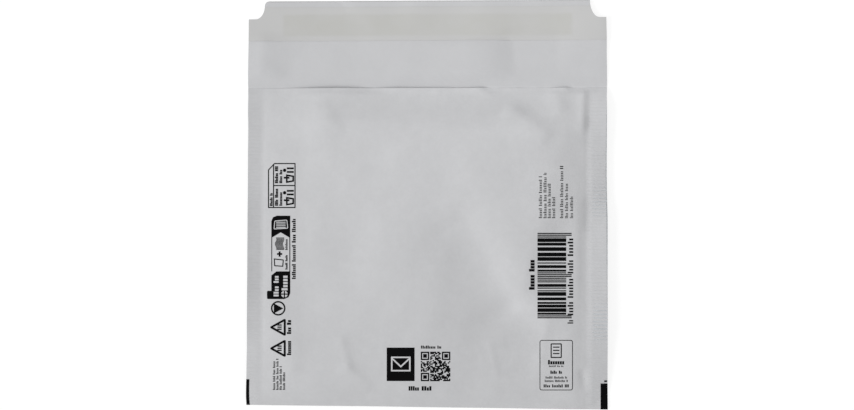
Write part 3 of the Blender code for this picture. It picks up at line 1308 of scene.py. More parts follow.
@dataclass(frozen=True)
class PaperCover:
    """The sheet of paper: flap, back panel, bottom fold and front panel.

    Attributes:
        form: The envelope's form.
        body_cells: Cells across the pocket.
        left_cells: Cells across the left seam.
        right_cells: Cells across the right seam.
        row: The height of a row on the front panel, in metres. On the back panel it is twice that.
        flap_row: The height of a row on the flap.
        tip_rows: How many rows lie in the bend at its tip.
        tip_bends: How many times the bend's length they take up.
        fold_row: The height of a row round the bottom fold.
        fold_rows: How many rows lie on each side of the fold.
        front_cuts: How many more rows each front row has in the seams.
        back_cuts: How many more each back row has there.
        near: How far off a line an edge may lie and still be on it.
    """

    form: EnvelopeForm
    body_cells: int = 129
    left_cells: int = 5
    right_cells: int = 7
    row: float = 1.2 * MM
    flap_row: float = 2.0 * MM
    tip_rows: int = 9
    tip_bends: float = 3.0
    fold_row: float = 0.7 * MM
    fold_rows: int = 4
    front_cuts: int = 2
    back_cuts: int = 5
    near: float = 0.1 * MM

    def columns(self) -> list[float]:
        """Gives the columns of points, with one on each weld line.

        Returns:
            The x of each column.
        """
        half = self.form.width / 2.0
        left = even(-half, self.form.left_weld, self.left_cells)
        body = even(self.form.left_weld, self.form.right_weld, self.body_cells)
        return left[:-1] + body + even(self.form.right_weld, half, self.right_cells)[1:]

    def rows(self) -> list[float]:
        """Gives the rows of points from the flap's tip to the front panel's edge.

        Returns:
            The y of each row.
        """
        body, flap = self.form.body_length, self.form.flap_length
        fold = self.fold_row * self.fold_rows
        bent = self.tip_bends * self.form.tip_bend - body - flap
        rows = even(-body - flap, bent, self.tip_rows)[:-1]
        rows += even(bent, -body, round(flap / self.flap_row))[:-1]
        rows += even(-body, -fold, round((body - fold) / (2.0 * self.row)))[:-1]
        rows += even(-fold, fold, 2 * self.fold_rows)[:-1]
        return rows + even(fold, body, round((body - fold) / self.row))

    def refine_seams(self, sheet: bpy.types.Object) -> None:
        """Divides the seams' cells along the envelope, so that they can hold the fine ribs.

        Args:
            sheet: The flat sheet.
        """
        form = self.form
        front = (self.fold_row, form.body_length, self.front_cuts)
        back = (-form.body_length, -self.fold_row, self.back_cuts)
        for low, high, cuts in (front, back):
            points = read_points(sheet)
            ends = np.empty(len(sheet.data.edges) * 2, dtype=np.int64)
            sheet.data.edges.foreach_get("vertices", ends)
            first, second = points[ends[0::2]], points[ends[1::2]]
            x, run = ((first + second) / 2.0)[:, :2].T
            upright = np.abs(first[:, 0] - second[:, 0]) < self.near / 10.0
            in_seam = (x < form.left_weld + self.near) | (x > form.right_weld - self.near)
            select_edges(sheet, upright & in_seam & (run > low) & (run < high))
            bpy.ops.mesh.subdivide(number_cuts=cuts)
            leave_edit()

    def build(self) -> bpy.types.Object:
        """Builds the sheet: cut flat, thickened and folded.

        Returns:
            The sheet.
        """
        sheet = add_flat_grid("paper_sheet", self.columns(), self.rows())
        self.refine_seams(sheet)
        cut_corners(sheet, self.form)
        thicken(sheet, self.form.paper)
        self.form.fold_up(sheet)
        shade_smooth(sheet)
        return sheet


@dataclass(frozen=True)
class BubbleLiner:
    """The bubble film, folded like the paper, with its bubbles facing into the pocket.

    Attributes:
        form: The envelope's form.
        pitch: From one bubble to the next, in metres.
        radius: A bubble's radius.
        clearance: How far a bubble keeps from the welds, the fold and the mouth.
        paper_gap: The gap between the film and the paper.
        film_gap: The gap between the flat film and a bubble.
        pocket_share: How far a bubble may stand into the open pocket.
        top_gap: How far it stays short of that.
        least_depth: The depth of the shallowest bubble.
        segments: How many sides a bubble has.
        rings: How far in each ring of a bubble's flat face lies, as a share of its radius.
        steps: The drop and the drawing in of each step of a bubble's side.
        seam_cells: Cells across the left and the right seam.
        panel_cells: Cells across and along a panel, and along the back one.
        fold: How far the bottom fold's finer rows reach.
        fold_cells: How many there are.
        smooth: The angle in degrees up to which it is shaded smooth.
    """

    form: EnvelopeForm
    pitch: float = 11.0 * MM
    radius: float = 4.7 * MM
    clearance: float = 1.0 * MM
    paper_gap: float = 0.06 * MM
    film_gap: float = 0.01 * MM
    pocket_share: float = 0.2 * MM
    top_gap: float = 0.3 * MM
    least_depth: float = 0.15 * MM
    segments: int = 14
    rings: tuple[float, ...] = (0.4, 0.35)
    steps: tuple[tuple[float, float], ...] = ((0.55, 0.955), (0.3, 0.88), (0.15, 0.66))
    seam_cells: tuple[int, int] = (2, 3)
    panel_cells: tuple[int, int, int] = (84, 84, 60)
    fold: float = 2.1 * MM
    fold_cells: int = 6
    smooth: float = 50.0

    def make_bubble(self) -> bpy.types.Object:
        """Makes one bubble of radius 1 and depth 1, from a disc extruded downwards and drawn in.

        Returns:
            The bubble.
        """
        bubble = add_disc("bubble", self.segments)
        edit(bubble)
        for ring in self.rings:
            bpy.ops.mesh.inset(thickness=ring, depth=0.0)
        bpy.ops.mesh.select_all(action="SELECT")
        for drop, draw_in in self.steps:
            bpy.ops.mesh.extrude_region_move(TRANSFORM_OT_translate={"value": (0.0, 0.0, -drop)})
            bpy.ops.transform.resize(value=(draw_in, draw_in, 1.0))
        leave_edit()
        face_outwards(bubble)
        return bubble

    def bubble_places(self) -> Iterable[Corner]:
        """Gives the middle of each bubble as x and run, on a lattice of triangles.

        Returns:
            The places, row by row.
        """
        row_step = self.pitch * math.sqrt(3.0) / 2.0
        clear = self.radius + self.clearance
        rows = int((self.form.body_length - FILM_UNDER_MOUTH - clear) / row_step)
        for row in range(-rows, rows + 1):
            if abs(row * row_step) < clear:
                continue
            x = self.form.left_weld + clear + (self.pitch / 2.0 if row % 2 else 0.0)
            while x < self.form.right_weld - clear:
                yield x, row * row_step
                x += self.pitch

    def bubble_depth(self, x: float, run: float) -> float:
        """Gives how deep a bubble is, which depends on the padding and the pocket there.

        Args:
            x: The bubble's place across.
            run: Its place along the flat film.

        Returns:
            The depth, in metres.
        """
        place = np.array([x]), np.array([self.form.bottom_y + abs(run)])
        room = self.form.panel(*place)[0] + min(self.form.half_pocket(*place)[0], self.pocket_share)
        return max(room - self.top_gap, self.least_depth)

    def make_bubbles(self) -> bpy.types.Object:
        """Makes all the bubbles under the flat film.

        Returns:
            The bubbles, as one mesh.
        """
        pattern = self.make_bubble()
        copies = []
        for x, run in self.bubble_places():
            bubble = copy_of(pattern)
            bubble.location = (x, run, -self.form.film / 2.0 - self.film_gap)
            bubble.scale = (self.radius, self.radius, self.bubble_depth(x, run))
            copies.append(bubble)
        bpy.data.objects.remove(pattern, do_unlink=True)
        return join(copies, "bubbles")

    def build(self) -> bpy.types.Object:
        """Builds the film with its bubbles as one piece.

        Returns:
            The film.
        """
        form = self.form
        limit, half, fold = form.body_length - FILM_UNDER_MOUTH, form.width / 2.0, self.fold
        left, right = self.seam_cells
        across, front, back = self.panel_cells
        columns = even(-half, form.left_weld, left)[:-1] + even(form.left_weld, form.right_weld, across)
        columns += even(form.right_weld, half, right)[1:]
        rows = even(-limit, -fold, back)[:-1] + even(-fold, fold, self.fold_cells)[:-1]
        film = add_flat_grid("bubble_film_sheet", columns, rows + even(fold, limit, front))
        thicken(film, form.film)
        liner = join([film, self.make_bubbles()], "bubble_film")
        form.fold_up(liner, form.paper / 2.0 + self.paper_gap + form.film / 2.0)
        shade_smooth(liner, self.smooth)
        return liner


@dataclass(frozen=True)
class FlapStrip:
    """A strip on the flap's inner face, which follows the flap's waves. Sizes are metres.

    Attributes:
        form: The envelope's form.
        name: The piece's name.
        low: The strip's lowest corner, as x, y and z.
        high: Its highest corner.
        above: How far its underside lies above the paper.
        thickness: The strip's own thickness.
        cut: Whether it is cut with the flap's corners.
        cell: The size of its cells.
    """

    form: EnvelopeForm
    name: str
    low: Vector
    high: Vector
    above: float
    thickness: float
    cut: bool = False
    cell: float = 1.8 * MM

    def build(self) -> bpy.types.Object:
        """Builds the strip.

        Returns:
            The strip.
        """
        form = self.form
        across, along = (round((self.high[axis] - self.low[axis]) / self.cell) for axis in (0, 1))
        far = form.mouth_y - form.body_length
        columns = even(self.low[0], self.high[0], across)
        strip = add_flat_grid(self.name, columns, even(far - self.high[1], far - self.low[1], along))
        if self.cut:
            cut_corners(strip, form)
        thicken(strip, self.thickness)
        raise_points(strip, -(form.paper / 2.0 + self.above + self.thickness / 2.0))
        form.fold_up(strip)
        shade_smooth(strip)
        return strip


# The camera, and what is placed by the photograph


@dataclass(frozen=True)
class PhotoView:
    """The camera that took the photograph, and where a point of it falls on the envelope.

    Attributes:
        place: Where the camera stands, in millimetres.
        turn: How it is turned, in degrees about X, Y and Z.
        focal_pixels: Its focal length, in pixels of the photograph.
        width: The photograph's width, in pixels.
        height: Its height.
        sensor: The width of the camera's sensor, in millimetres.
        clip: The nearest and the furthest that it sees, in metres.
        rounds: How many times a ray's landing is worked out, each time closer.
    """

    place: tuple[float, float, float] = (39.4, -14.5, 750.7)
    turn: tuple[float, float, float] = (1.03, 2.97, 0.18)
    focal_pixels: float = 1350.75
    width: int = 854
    height: int = 410
    sensor: float = 36.0
    clip: tuple[float, float] = (0.01, 20.0)
    rounds: int = 8

    def make_camera(self) -> None:
        """Makes the camera and hands it to the scene."""
        deselect_all()
        turn = [math.radians(angle) for angle in self.turn]
        bpy.ops.object.camera_add(location=Vector(self.place) * MM, rotation=turn)
        camera = bpy.context.object
        camera.name = "photo_camera"
        camera.data.sensor_width = self.sensor
        camera.data.lens = self.focal_pixels / self.width * self.sensor
        camera.data.clip_start, camera.data.clip_end = self.clip
        bpy.context.scene.camera = camera

    def land(self, pixels: np.ndarray, surface: Callable[..., np.ndarray]) -> np.ndarray:
        """Finds where points of the photograph fall on a surface.

        Args:
            pixels: Rows of x and y in the photograph, with y downwards.
            surface: Gives the surface's height at x and y.

        Returns:
            Rows of x, y and z.
        """
        turn = np.array(Euler([math.radians(angle) for angle in self.turn], "XYZ").to_matrix())
        start = np.array(self.place) * MM
        right = (pixels[:, 0] - self.width / 2.0) / self.focal_pixels
        up = (self.height / 2.0 - pixels[:, 1]) / self.focal_pixels
        rays = np.column_stack([right, up, np.full(len(pixels), -1.0)]) @ turn.T
        height = np.zeros(len(pixels))
        for _ in range(self.rounds):
            points = start + rays * ((height - start[2]) / rays[:, 2])[:, None]
            height = surface(points[:, 0], points[:, 1])
        return np.column_stack([points[:, 0], points[:, 1], height])


# The shapes that the print is drawn with, in pixels of the photograph with y downwards


@dataclass(frozen=True)
class Area:
    """A filled rectangle."""

    left: float
    top: float
    right: float
    bottom: float

    def moved(self, right: float, down: float) -> "Area":
        """Gives the rectangle moved to the right and down."""
        return Area(self.left + right, self.top + down, self.right + right, self.bottom + down)

    def rows(self, count: int, step: float) -> tuple["Area", ...]:
        """Gives a column of such rectangles, each a step under the last."""
        return tuple(self.moved(0.0, step * row) for row in range(count))

    def frame(self, line: float, rounding: float = 0.0) -> "Outline":
        """Gives the rectangle's outline."""
        lower = ((self.left, self.bottom), (self.right, self.bottom))
        return Outline(((self.left, self.top), *lower, (self.right, self.top)), line, rounding)


@dataclass(frozen=True)
class Outline:
    """A closed line, or a filled shape.

    Attributes:
        corners: Its corners, in order.
        line: The line's width, or None to fill the shape.
        rounding: The radius of its corners.
    """

    corners: tuple[Corner, ...]
    line: float | None = None
    rounding: float = 0.0

    def moved(self, right: float, down: float) -> "Outline":
        """Gives the outline moved to the right and down."""
        return replace(self, corners=tuple((x + right, y + down) for x, y in self.corners))


def disc(x: float, y: float, radius: float, line: float | None = None, steps: int = 28) -> Outline:
    """Gives a filled disc, or a ring if it has a line."""
    angles = (2.0 * math.pi * step / steps for step in range(steps))
    return Outline(tuple((x + radius * math.cos(a), y - radius * math.sin(a)) for a in angles), line)


def quartered_disc(x: float, y: float, radius: float, gap: float, steps: int = 4) -> list[Outline]:
    """Gives the four quarters of a filled disc with a cross left open in it.

    Args:
        x: The x of its middle.
        y: The y of its middle.
        radius: Its radius.
        gap: The width of the cross.
        steps: How many steps a quarter's round has.

    Returns:
        The quarters.
    """
    start = math.asin(gap / 2.0 / radius)
    quarters = []
    for across, down in ((1.0, 1.0), (-1.0, 1.0), (-1.0, -1.0), (1.0, -1.0)):
        corners = [(x + across * gap / 2.0, y + down * gap / 2.0)]
        for step in range(steps + 1):
            angle = start + (math.pi / 2.0 - 2.0 * start) * step / steps
            corners.append((x + across * radius * math.cos(angle), y + down * radius * math.sin(angle)))
        quarters.append(Outline(tuple(corners)))
    return quarters


class Reading(Enum):
    """Which way a line of text reads."""

    UPWARDS = "upwards"
    LEVEL = "to the right"


@dataclass(frozen=True)
class TextLine:
    """A line of dummy text: words of plain blocks, no letters.

    Attributes:
        area: Where it lies.
        seed: What its words are drawn from.
        weight: The share of a letter's width that its block fills.
        reading: Which way it reads.
        word_lengths: The shortest and longest word, in heights of the line.
        word_gap: The gap between words, in the same.
        letter: The width of a letter, in the same.
        tall_share: The share of tall letters after a word's first, which always is one.
        low_rise: The height of the others, in the same.
    """

    area: Area
    seed: int
    weight: float = 0.62
    reading: Reading = Reading.UPWARDS
    word_lengths: tuple[float, float] = (1.6, 5.0)
    word_gap: float = 0.55
    letter: float = 0.52
    tall_share: float = 0.25
    low_rise: float = 0.72

    def moved(self, right: float, down: float, reseed: int = 0) -> "TextLine":
        """Gives the line moved to the right and down, with other words if it is reseeded."""
        return replace(self, area=self.area.moved(right, down), seed=self.seed + reseed)

    def words(self, length: float, height: float) -> Iterable[tuple[float, float]]:
        """Gives the start and end of each word along a line of a length and height.

        Args:
            length: The line's length.
            height: Its height.

        Returns:
            Each word's start and end.
        """
        draw = random.Random(self.seed)
        start = 0.0
        while start < length:
            end = min(start + draw.uniform(*self.word_lengths) * height, length)
            if length - end < height:
                end = length
            yield start, end
            start = end + self.word_gap * height

    def letters(self, start: float, end: float, height: float) -> Iterable[tuple[float, float, float]]:
        """Gives the start, end and rise of each block in a word, from its start and end.

        Args:
            start: The word's start.
            end: Its end.
            height: The line's height.

        Returns:
            Each block's start, end and rise.
        """
        draw = random.Random(self.seed * 1000 + round(start * 10.0))
        count = max(round((end - start) / (self.letter * height)), 1)
        for place in range(count):
            near = start + (end - start) * place / count
            far = start + (end - start) * (place + 1) / count
            rise = 1.0 if place == 0 or draw.random() < self.tall_share else self.low_rise
            yield near, far, rise * height

    def blocks(self) -> Iterable[Area]:
        """Gives the blocks of all its words.

        Returns:
            The blocks, in pixels.
        """
        area = self.area
        length, height = area.right - area.left, area.bottom - area.top
        if self.reading is Reading.UPWARDS:
            length, height = height, length
        for word_start, word_end in self.words(length, height):
            for start, end, rise in self.letters(word_start, word_end, height):
                wide = (end - start) * self.weight
                if self.reading is Reading.UPWARDS:
                    low = area.bottom - start
                    yield Area(area.right - rise, low - wide, area.right, low)
                else:
                    left = area.left + start
                    yield Area(left, area.bottom - rise, left + wide, area.bottom)


class Layer(Enum):
    """What a printed shape is made of, and how far it lies over the paper, in millimetres."""

    INK = 0.030
    BARE = 0.060


@dataclass
class Stencil:
    """Flat printed shapes, drawn on the photograph's plane and then laid on the paper.

    A pixel of the photograph is one millimetre of the drawing, with y downwards made negative.

    Attributes:
        name: The printed piece's name.
        layer: What it is printed with.
        lattice: The size of the pieces that the drawing is cut into, to follow the paper.
        round_steps: How many steps a rounded corner has.
        parts: The shapes so far.
        tile: The rectangle that all others are copied from.
    """

    name: str
    layer: Layer = Layer.INK
    lattice: float = 2.3 * MM
    round_steps: int = 5
    parts: list[bpy.types.Object] = field(default_factory=list)
    tile: bpy.types.Object | None = None

    def draw(self, *shapes: Area | Outline | TextLine) -> None:
        """Draws shapes in their order."""
        for shape in shapes:
            if isinstance(shape, Area):
                self.draw_area(shape)
            elif isinstance(shape, Outline):
                self.draw_outline(shape)
            else:
                self.draw(*shape.blocks())

    def draw_area(self, area: Area) -> None:
        """Draws a filled rectangle, as a copy of one tile.

        Args:
            area: The rectangle.
        """
        if self.tile is None:
            deselect_all()
            bpy.ops.mesh.primitive_plane_add(size=1.0)
            shape = self.tile = new_object(self.name)
        else:
            shape = copy_of(self.tile)
        middle_x, middle_y = (area.left + area.right) / 2.0, (area.top + area.bottom) / 2.0
        shape.location = (middle_x * MM, -middle_y * MM, 0.0)
        shape.scale = ((area.right - area.left) * MM, (area.bottom - area.top) * MM, 1.0)
        self.parts.append(shape)

    def draw_outline(self, outline: Outline) -> None:
        """Draws a closed line, or a filled shape, that faces upwards.

        Args:
            outline: The line or shape.
        """
        shape = add_face(self.name, ((x * MM, -y * MM) for x, y in outline.corners))
        edit(shape)
        if outline.rounding:
            offset = outline.rounding * MM
            bpy.ops.mesh.bevel(offset=offset, segments=self.round_steps, affect="VERTICES")
            bpy.ops.mesh.select_all(action="SELECT")
        bpy.ops.mesh.normals_make_consistent(inside=False)
        if outline.line:
            bpy.ops.mesh.inset(thickness=outline.line * MM, depth=0.0)
            bpy.ops.mesh.delete(type="FACE")
        leave_edit()
        if shape.data.polygons[0].normal.z < 0.0:
            edit(shape)
            bpy.ops.mesh.flip_normals()
            leave_edit()
        self.parts.append(shape)

    def split(self, thing: bpy.types.Object) -> None:
        """Cuts a flat drawing along a lattice, so that it can follow the paper's curves.

        Args:
            thing: The drawing.
        """
        points = read_points(thing)
        edit(thing)
        for axis in (0, 1):
            low, high = points[:, axis].min(), points[:, axis].max()
            place = low + self.lattice
            while place < high:
                centre, normal = [0.0, 0.0, 0.0], [0.0, 0.0, 0.0]
                centre[axis], normal[axis] = place, 1.0
                bpy.ops.mesh.select_all(action="SELECT")
                bpy.ops.mesh.bisect(plane_co=centre, plane_no=normal)
                place += self.lattice
        leave_edit()

    def lay(self, form: EnvelopeForm, view: PhotoView) -> bpy.types.Object:
        """Lays the drawing on the front panel as a thin film of ink.

        Args:
            form: The envelope's form.
            view: The photograph's camera.

        Returns:
            The printed piece.
        """
        above = form.paper / 2.0 + self.layer.value * MM
        thing = join(self.parts, self.name)
        self.split(thing)
        drawn = read_points(thing)
        pixels = np.column_stack([drawn[:, 0], -drawn[:, 1]]) / MM
        write_points(thing, view.land(pixels, lambda x, y: form.front(x, y) + form.ribs(x, y) + above))
        thicken(thing, INK_THICKNESS, 1.0)
        return thing


# The print, with each place in pixels of the photograph


@dataclass(frozen=True)
class LeftPrint:
    """The print down the left side: a divided box, a dark panel, a ring, two tokens and text.

    What stands in both halves of the box, and in both tokens, is given once, with its y counted
    from half_tops and token_tops.
    """

    ink: Stencil
    bare: Stencil
    box: Outline = Outline(
        ((268.0, 208.05), (295.55, 208.05), (295.55, 163.05), (274.3, 163.05), (268.0, 169.75)), 1.05
    )
    dividers: tuple[Area, ...] = (
        Area(273.025, 164.25, 274.075, 207.0),
        Area(273.85, 185.025, 295.15, 186.075),
    )
    title: TextLine = TextLine(Area(269.8, 193.0, 272.6, 206.0), 11, 0.85)
    half_tops: tuple[float, ...] = (164.65, 187.15)
    half_text: tuple[TextLine, ...] = (
        TextLine(Area(274.9, 1.4, 278.1, 18.6), 12, 0.86),
        TextLine(Area(279.3, 5.0, 282.2, 18.6), 13, 0.84),
    )
    tray: Outline = Outline(((286.0, 9.6), (294.0, 11.0), (294.0, 17.0), (286.0, 18.4)), 1.6)
    tray_stem: Area = Area(283.8, 12.2, 289.4, 14.0)
    tray_dot: Outline = disc(284.6, 5.6, 1.7)
    tray_bars: tuple[Area, ...] = (Area(286.8, 2.8, 293.8, 4.6), Area(286.8, 6.4, 293.8, 8.2))
    panel_head: Outline = Outline(
        ((271.35, 221.2), (272.95, 217.3), (276.85, 215.7), (290.25, 215.7))
        + ((290.25, 237.5), (271.35, 237.5))
    )
    panel_sides: tuple[Area, ...] = (
        Area(271.35, 237.5, 272.15, 271.4),
        Area(289.35, 237.5, 290.25, 271.4),
    )
    panel_tail: Outline = Outline(
        ((276.35, 271.4), (290.25, 271.4), (290.25, 293.05), (288.45, 297.25), (284.25, 299.05))
        + ((271.35, 299.05), (271.35, 275.4))
    )
    panel_foot: Outline = Outline(
        ((267.0, 290.8), (272.6, 290.8), (272.6, 299.05), (267.0, 299.05)),
        None,
        1.2,
    )
    light_peak: Outline = Outline(((272.15, 237.5), (289.35, 237.5), (280.7, 232.4)))
    leaf: Outline = Outline(((274.4, 220.6), (287.2, 219.6), (288.2, 228.6), (273.6, 229.4)), 0.8, 1.2)
    leaf_lines: tuple[Area, ...] = Area(276.2, 221.8, 285.6, 222.6).rows(4, 1.8)
    panel_text: tuple[TextLine, ...] = (
        TextLine(Area(273.6, 275.2, 278.6, 296.4), 21, 0.7),
        TextLine(Area(281.6, 274.8, 287.6, 290.4), 22, 0.72),
    )
    badge: tuple[Outline, ...] = tuple(quartered_disc(284.4, 294.1, 3.3, 1.2))
    swaying_bars: tuple[Area, ...] = tuple(
        Area(275.6, 236.4, 283.6, 237.2).moved(0.7 * math.sin(0.75 * n), 1.15 * n) for n in range(12)
    )
    plus: tuple[Area, ...] = (Area(277.0, 253.1, 282.2, 254.9), Area(278.7, 251.4, 280.5, 256.8))
    card: Outline = Outline(((273.8, 258.4), (283.8, 259.6), (283.2, 266.8), (274.2, 266.2)), 1.0)
    field_text: tuple[TextLine, ...] = (
        TextLine(Area(285.2, 239.0, 287.6, 250.0), 23, 0.72),
        TextLine(Area(285.2, 255.0, 287.6, 269.5), 25, 0.8),
        TextLine(Area(291.9, 218.4, 295.7, 279.0), 24, 0.74),
    )
    ring: Outline = disc(278.2, 308.3, 7.3, 1.5)
    pointer: Outline = Outline(((273.8, 303.4), (283.4, 308.4), (273.8, 313.4)), None, 0.8)
    token_tops: tuple[float, ...] = (318.6, 339.7)
    token: Outline = Outline(((269.0, 8.7), (285.8, -0.6), (285.8, 18.0)), 2.1, 2.4)
    token_bars: tuple[Area, ...] = Area(277.4, 5.8, 281.6, 7.1).rows(3, 2.1)
    token_text: TextLine = TextLine(Area(286.9, 1.0, 291.1, 15.4), 31, 0.82)
    notes: tuple[TextLine, ...] = tuple(
        TextLine(Area(272.8 + 3.3 * n, top, 275.2 + 3.3 * n, 389.8), 41 + n, 0.66)
        for n, top in enumerate((361.0, 358.4, 366.0, 372.0))
    )

    def draw(self) -> None:
        """Draws all of it."""
        ink = self.ink
        ink.draw(self.box, *self.dividers, self.title)
        for place, top in enumerate(self.half_tops):
            ink.draw(*(line.moved(0.0, top, 2 * place) for line in self.half_text))
            tray = (self.tray, self.tray_stem, self.tray_dot, *self.tray_bars)
            ink.draw(*(shape.moved(0.0, top) for shape in tray))
        ink.draw(self.panel_head, *self.panel_sides, self.panel_tail, self.panel_foot)
        self.bare.draw(self.light_peak, self.leaf, *self.leaf_lines, *self.panel_text, *self.badge)
        ink.draw(*self.swaying_bars, *self.plus, self.card, *self.field_text)
        ink.draw(self.ring, self.pointer)
        for place, top in enumerate(self.token_tops):
            ink.draw(*(shape.moved(0.0, top) for shape in (self.token, *self.token_bars)))
            ink.draw(self.token_text.moved(0.0, top, 2 * place))
        ink.draw(*self.notes)


@dataclass(frozen=True)
class MiddlePrint:
    """The print at the bottom middle: a dark square with an envelope, and a block of squares.

    The block has as many squares each way as modules says, and three nested ones at its corners.
    """

    ink: Stencil
    bare: Stencil
    square: Area = Area(386.7, 347.6, 414.6, 381.05)
    letter: Outline = Area(391.0, 356.6, 410.6, 371.4).frame(1.5)
    letter_flap: Outline = Outline(
        ((392.0, 357.4), (400.8, 365.6), (409.6, 357.4), (409.6, 359.4), (400.8, 367.6), (392.0, 359.4))
    )
    text: tuple[TextLine, ...] = (
        TextLine(Area(408.6, 386.2, 431.9, 390.6), 51, 0.8, Reading.LEVEL),
        TextLine(Area(421.0, 345.6, 441.5, 348.6), 52, 0.72, Reading.LEVEL),
    )
    block: Corner = (420.9, 351.8)
    block_size: float = 29.3
    modules: int = 25
    filled_share: float = 0.53
    corner_size: int = 7
    overlap: float = 0.1
    seed: int = 7

    def filled(self) -> set[tuple[int, int]]:
        """Gives the filled cells of the block: three nested squares and a seeded scatter.

        Returns:
            The row and column of each filled cell.
        """
        draw = random.Random(self.seed)
        count, size = self.modules, self.corner_size
        grid = ((row, column) for row in range(count) for column in range(count))
        cells = {cell for cell in grid if draw.random() < self.filled_share}
        for row_start, column_start in ((0, 0), (0, count - size), (count - size, 0)):
            for row in range(-1, size + 1):
                for column in range(-1, size + 1):
                    cell = (row_start + row, column_start + column)
                    ring = max(abs(row - size // 2), abs(column - size // 2))
                    cells.discard(cell)
                    if ring in (0, 1, size // 2):
                        cells.add(cell)
        return cells

    def draw_block(self) -> None:
        """Draws the block of squares, one bar for each run of filled cells."""
        (left, top), cell, over = self.block, self.block_size / self.modules, self.overlap
        cells = self.filled()
        for row in range(self.modules):
            column = 0
            while column < self.modules:
                start = column
                while column < self.modules and (row, column) in cells:
                    column += 1
                if column > start:
                    upper = top + row * cell - over
                    near, far = left + start * cell - over, left + column * cell + over
                    self.ink.draw(Area(near, upper, far, upper + cell + 2.0 * over))
                column += 1

    def draw(self) -> None:
        """Draws all of it."""
        self.ink.draw(self.square)
        self.bare.draw(self.letter, self.letter_flap)
        self.ink.draw(*self.text)
        self.draw_block()


@dataclass(frozen=True)
class RightPrint:
    """The print down the right side: lines of text, a bar block and a framed picture.

    The bar block is count modules long. Its bars reach bars_right, or long_right at the guards.
    """

    ink: Stencil
    lines: tuple[TextLine, ...] = (
        TextLine(Area(538.8, 175.7, 542.0, 218.1), 61, 0.5),
        TextLine(Area(543.4, 172.3, 546.6, 218.1), 62, 0.5),
        TextLine(Area(547.6, 183.0, 550.8, 218.1), 63, 0.5),
        TextLine(Area(552.0, 196.6, 555.2, 218.1), 64, 0.5),
        TextLine(Area(560.0, 165.0, 563.2, 218.1), 65, 0.5),
        TextLine(Area(565.0, 183.0, 568.0, 218.1), 66, 0.5),
        TextLine(Area(570.0, 196.0, 573.0, 218.1), 67, 0.5),
        TextLine(Area(529.0, 259.6, 534.6, 289.7), 71, 0.85),
    )
    bars: Corner = (537.5, 232.98)
    bars_right: float = 566.2
    long_right: float = 571.6
    module: float = 0.897
    count: int = 95
    guards: tuple[int, ...] = (0, 2, 46, 48, 92, 94)
    bar_widths: tuple[int, ...] = (1, 2, 2, 3, 4)
    bar_gaps: tuple[int, ...] = (1, 1, 2, 2)
    bar_text: tuple[TextLine, ...] = (
        TextLine(Area(567.6, 237.2, 573.2, 273.4), 73, 0.56),
        TextLine(Area(567.6, 277.6, 573.2, 315.2), 73, 0.56),
        TextLine(Area(567.6, 319.2, 573.2, 323.6), 73, 0.56),
    )
    frame: Outline = Area(539.6, 340.0, 572.85, 390.35).frame(0.7, 2.2)
    page: Outline = Area(550.6, 343.4, 561.8, 358.0).frame(1.1, 0.8)
    page_lines: tuple[Area, ...] = Area(553.0, 346.6, 559.4, 347.7).rows(3, 3.2)
    frame_text: tuple[TextLine, ...] = (
        TextLine(Area(548.0, 360.0, 564.6, 364.4), 81, 0.8, Reading.LEVEL),
        TextLine(Area(549.0, 365.3, 563.6, 367.0), 86, 0.6, Reading.LEVEL),
        TextLine(Area(550.4, 370.6, 562.2, 373.8), 82, 0.78, Reading.LEVEL),
        TextLine(Area(545.6, 376.4, 567.4, 378.6), 83, reading=Reading.LEVEL),
        TextLine(Area(544.8, 379.8, 568.2, 382.0), 84, reading=Reading.LEVEL),
        TextLine(Area(543.6, 384.4, 569.2, 387.4), 85, 0.7, Reading.LEVEL),
    )
    overlap: float = 0.1
    seed: int = 19

    def draw_bars(self) -> None:
        """Draws the block of bars, with longer ones at its ends and middle."""
        draw = random.Random(self.seed)
        place = 0
        while place < self.count:
            if place in self.guards:
                self.draw_bar(place, 1, self.long_right)
                place += 2
                continue
            wide = draw.choice(self.bar_widths)
            ahead = min((guard for guard in self.guards if guard > place), default=self.count)
            wide = min(wide, ahead - place - 1)
            if wide > 0:
                self.draw_bar(place, wide, self.bars_right)
                place = min(place + wide + draw.choice(self.bar_gaps), ahead)
            else:
                place = ahead

    def draw_bar(self, place: int, wide: int, right: float) -> None:
        """Draws one bar of the bar block.

        Args:
            place: How many modules down it starts.
            wide: How many modules thick it is.
            right: Where it ends.
        """
        left, top = self.bars
        upper = top + place * self.module
        self.ink.draw(Area(left, upper - self.overlap, right, upper + wide * self.module + self.overlap))

    def draw(self) -> None:
        """Draws all of it."""
        self.ink.draw(*self.lines)
        self.draw_bars()
        self.ink.draw(*self.bar_text, self.frame, self.page, *self.page_lines, *self.frame_text)


@dataclass(frozen=True)
class EdgeMark:
    """A black mark at the corner of the bottom fold, where the paper roll was registered.

    Attributes:
        form: The envelope's form.
        name: The piece's name.
        low: Its lowest x and run on the unfolded sheet, in millimetres.
        high: Its highest x and run.
        cell: The width and the height of its cells.
        over_front: How far the middle of its ink lies over the front panel's paper.
        over_back: How far it lies over the back panel's.
    """

    form: EnvelopeForm
    name: str
    low: Corner
    high: Corner
    cell: Corner = (0.5, 0.2)
    over_front: float = 0.09
    over_back: float = 0.01

    def lines(self, axis: int) -> list[float]:
        """Gives the places of the mark's lines of points along an axis, in metres."""
        low, high = self.low[axis], self.high[axis]
        return [place * MM for place in even(low, high, round((high - low) / self.cell[axis]))]

    def build(self) -> bpy.types.Object:
        """Builds the mark as a thin film of ink that goes round the fold.

        Returns:
            The mark.
        """
        mark = add_flat_grid(self.name, self.lines(0), self.lines(1))
        thicken(mark, INK_THICKNESS)
        over = np.where(read_points(mark)[:, 1] > 0.0, self.over_front, self.over_back)
        raise_points(mark, self.form.paper / 2.0 + over * MM)
        self.form.fold_up(mark)
        return mark


# The stage


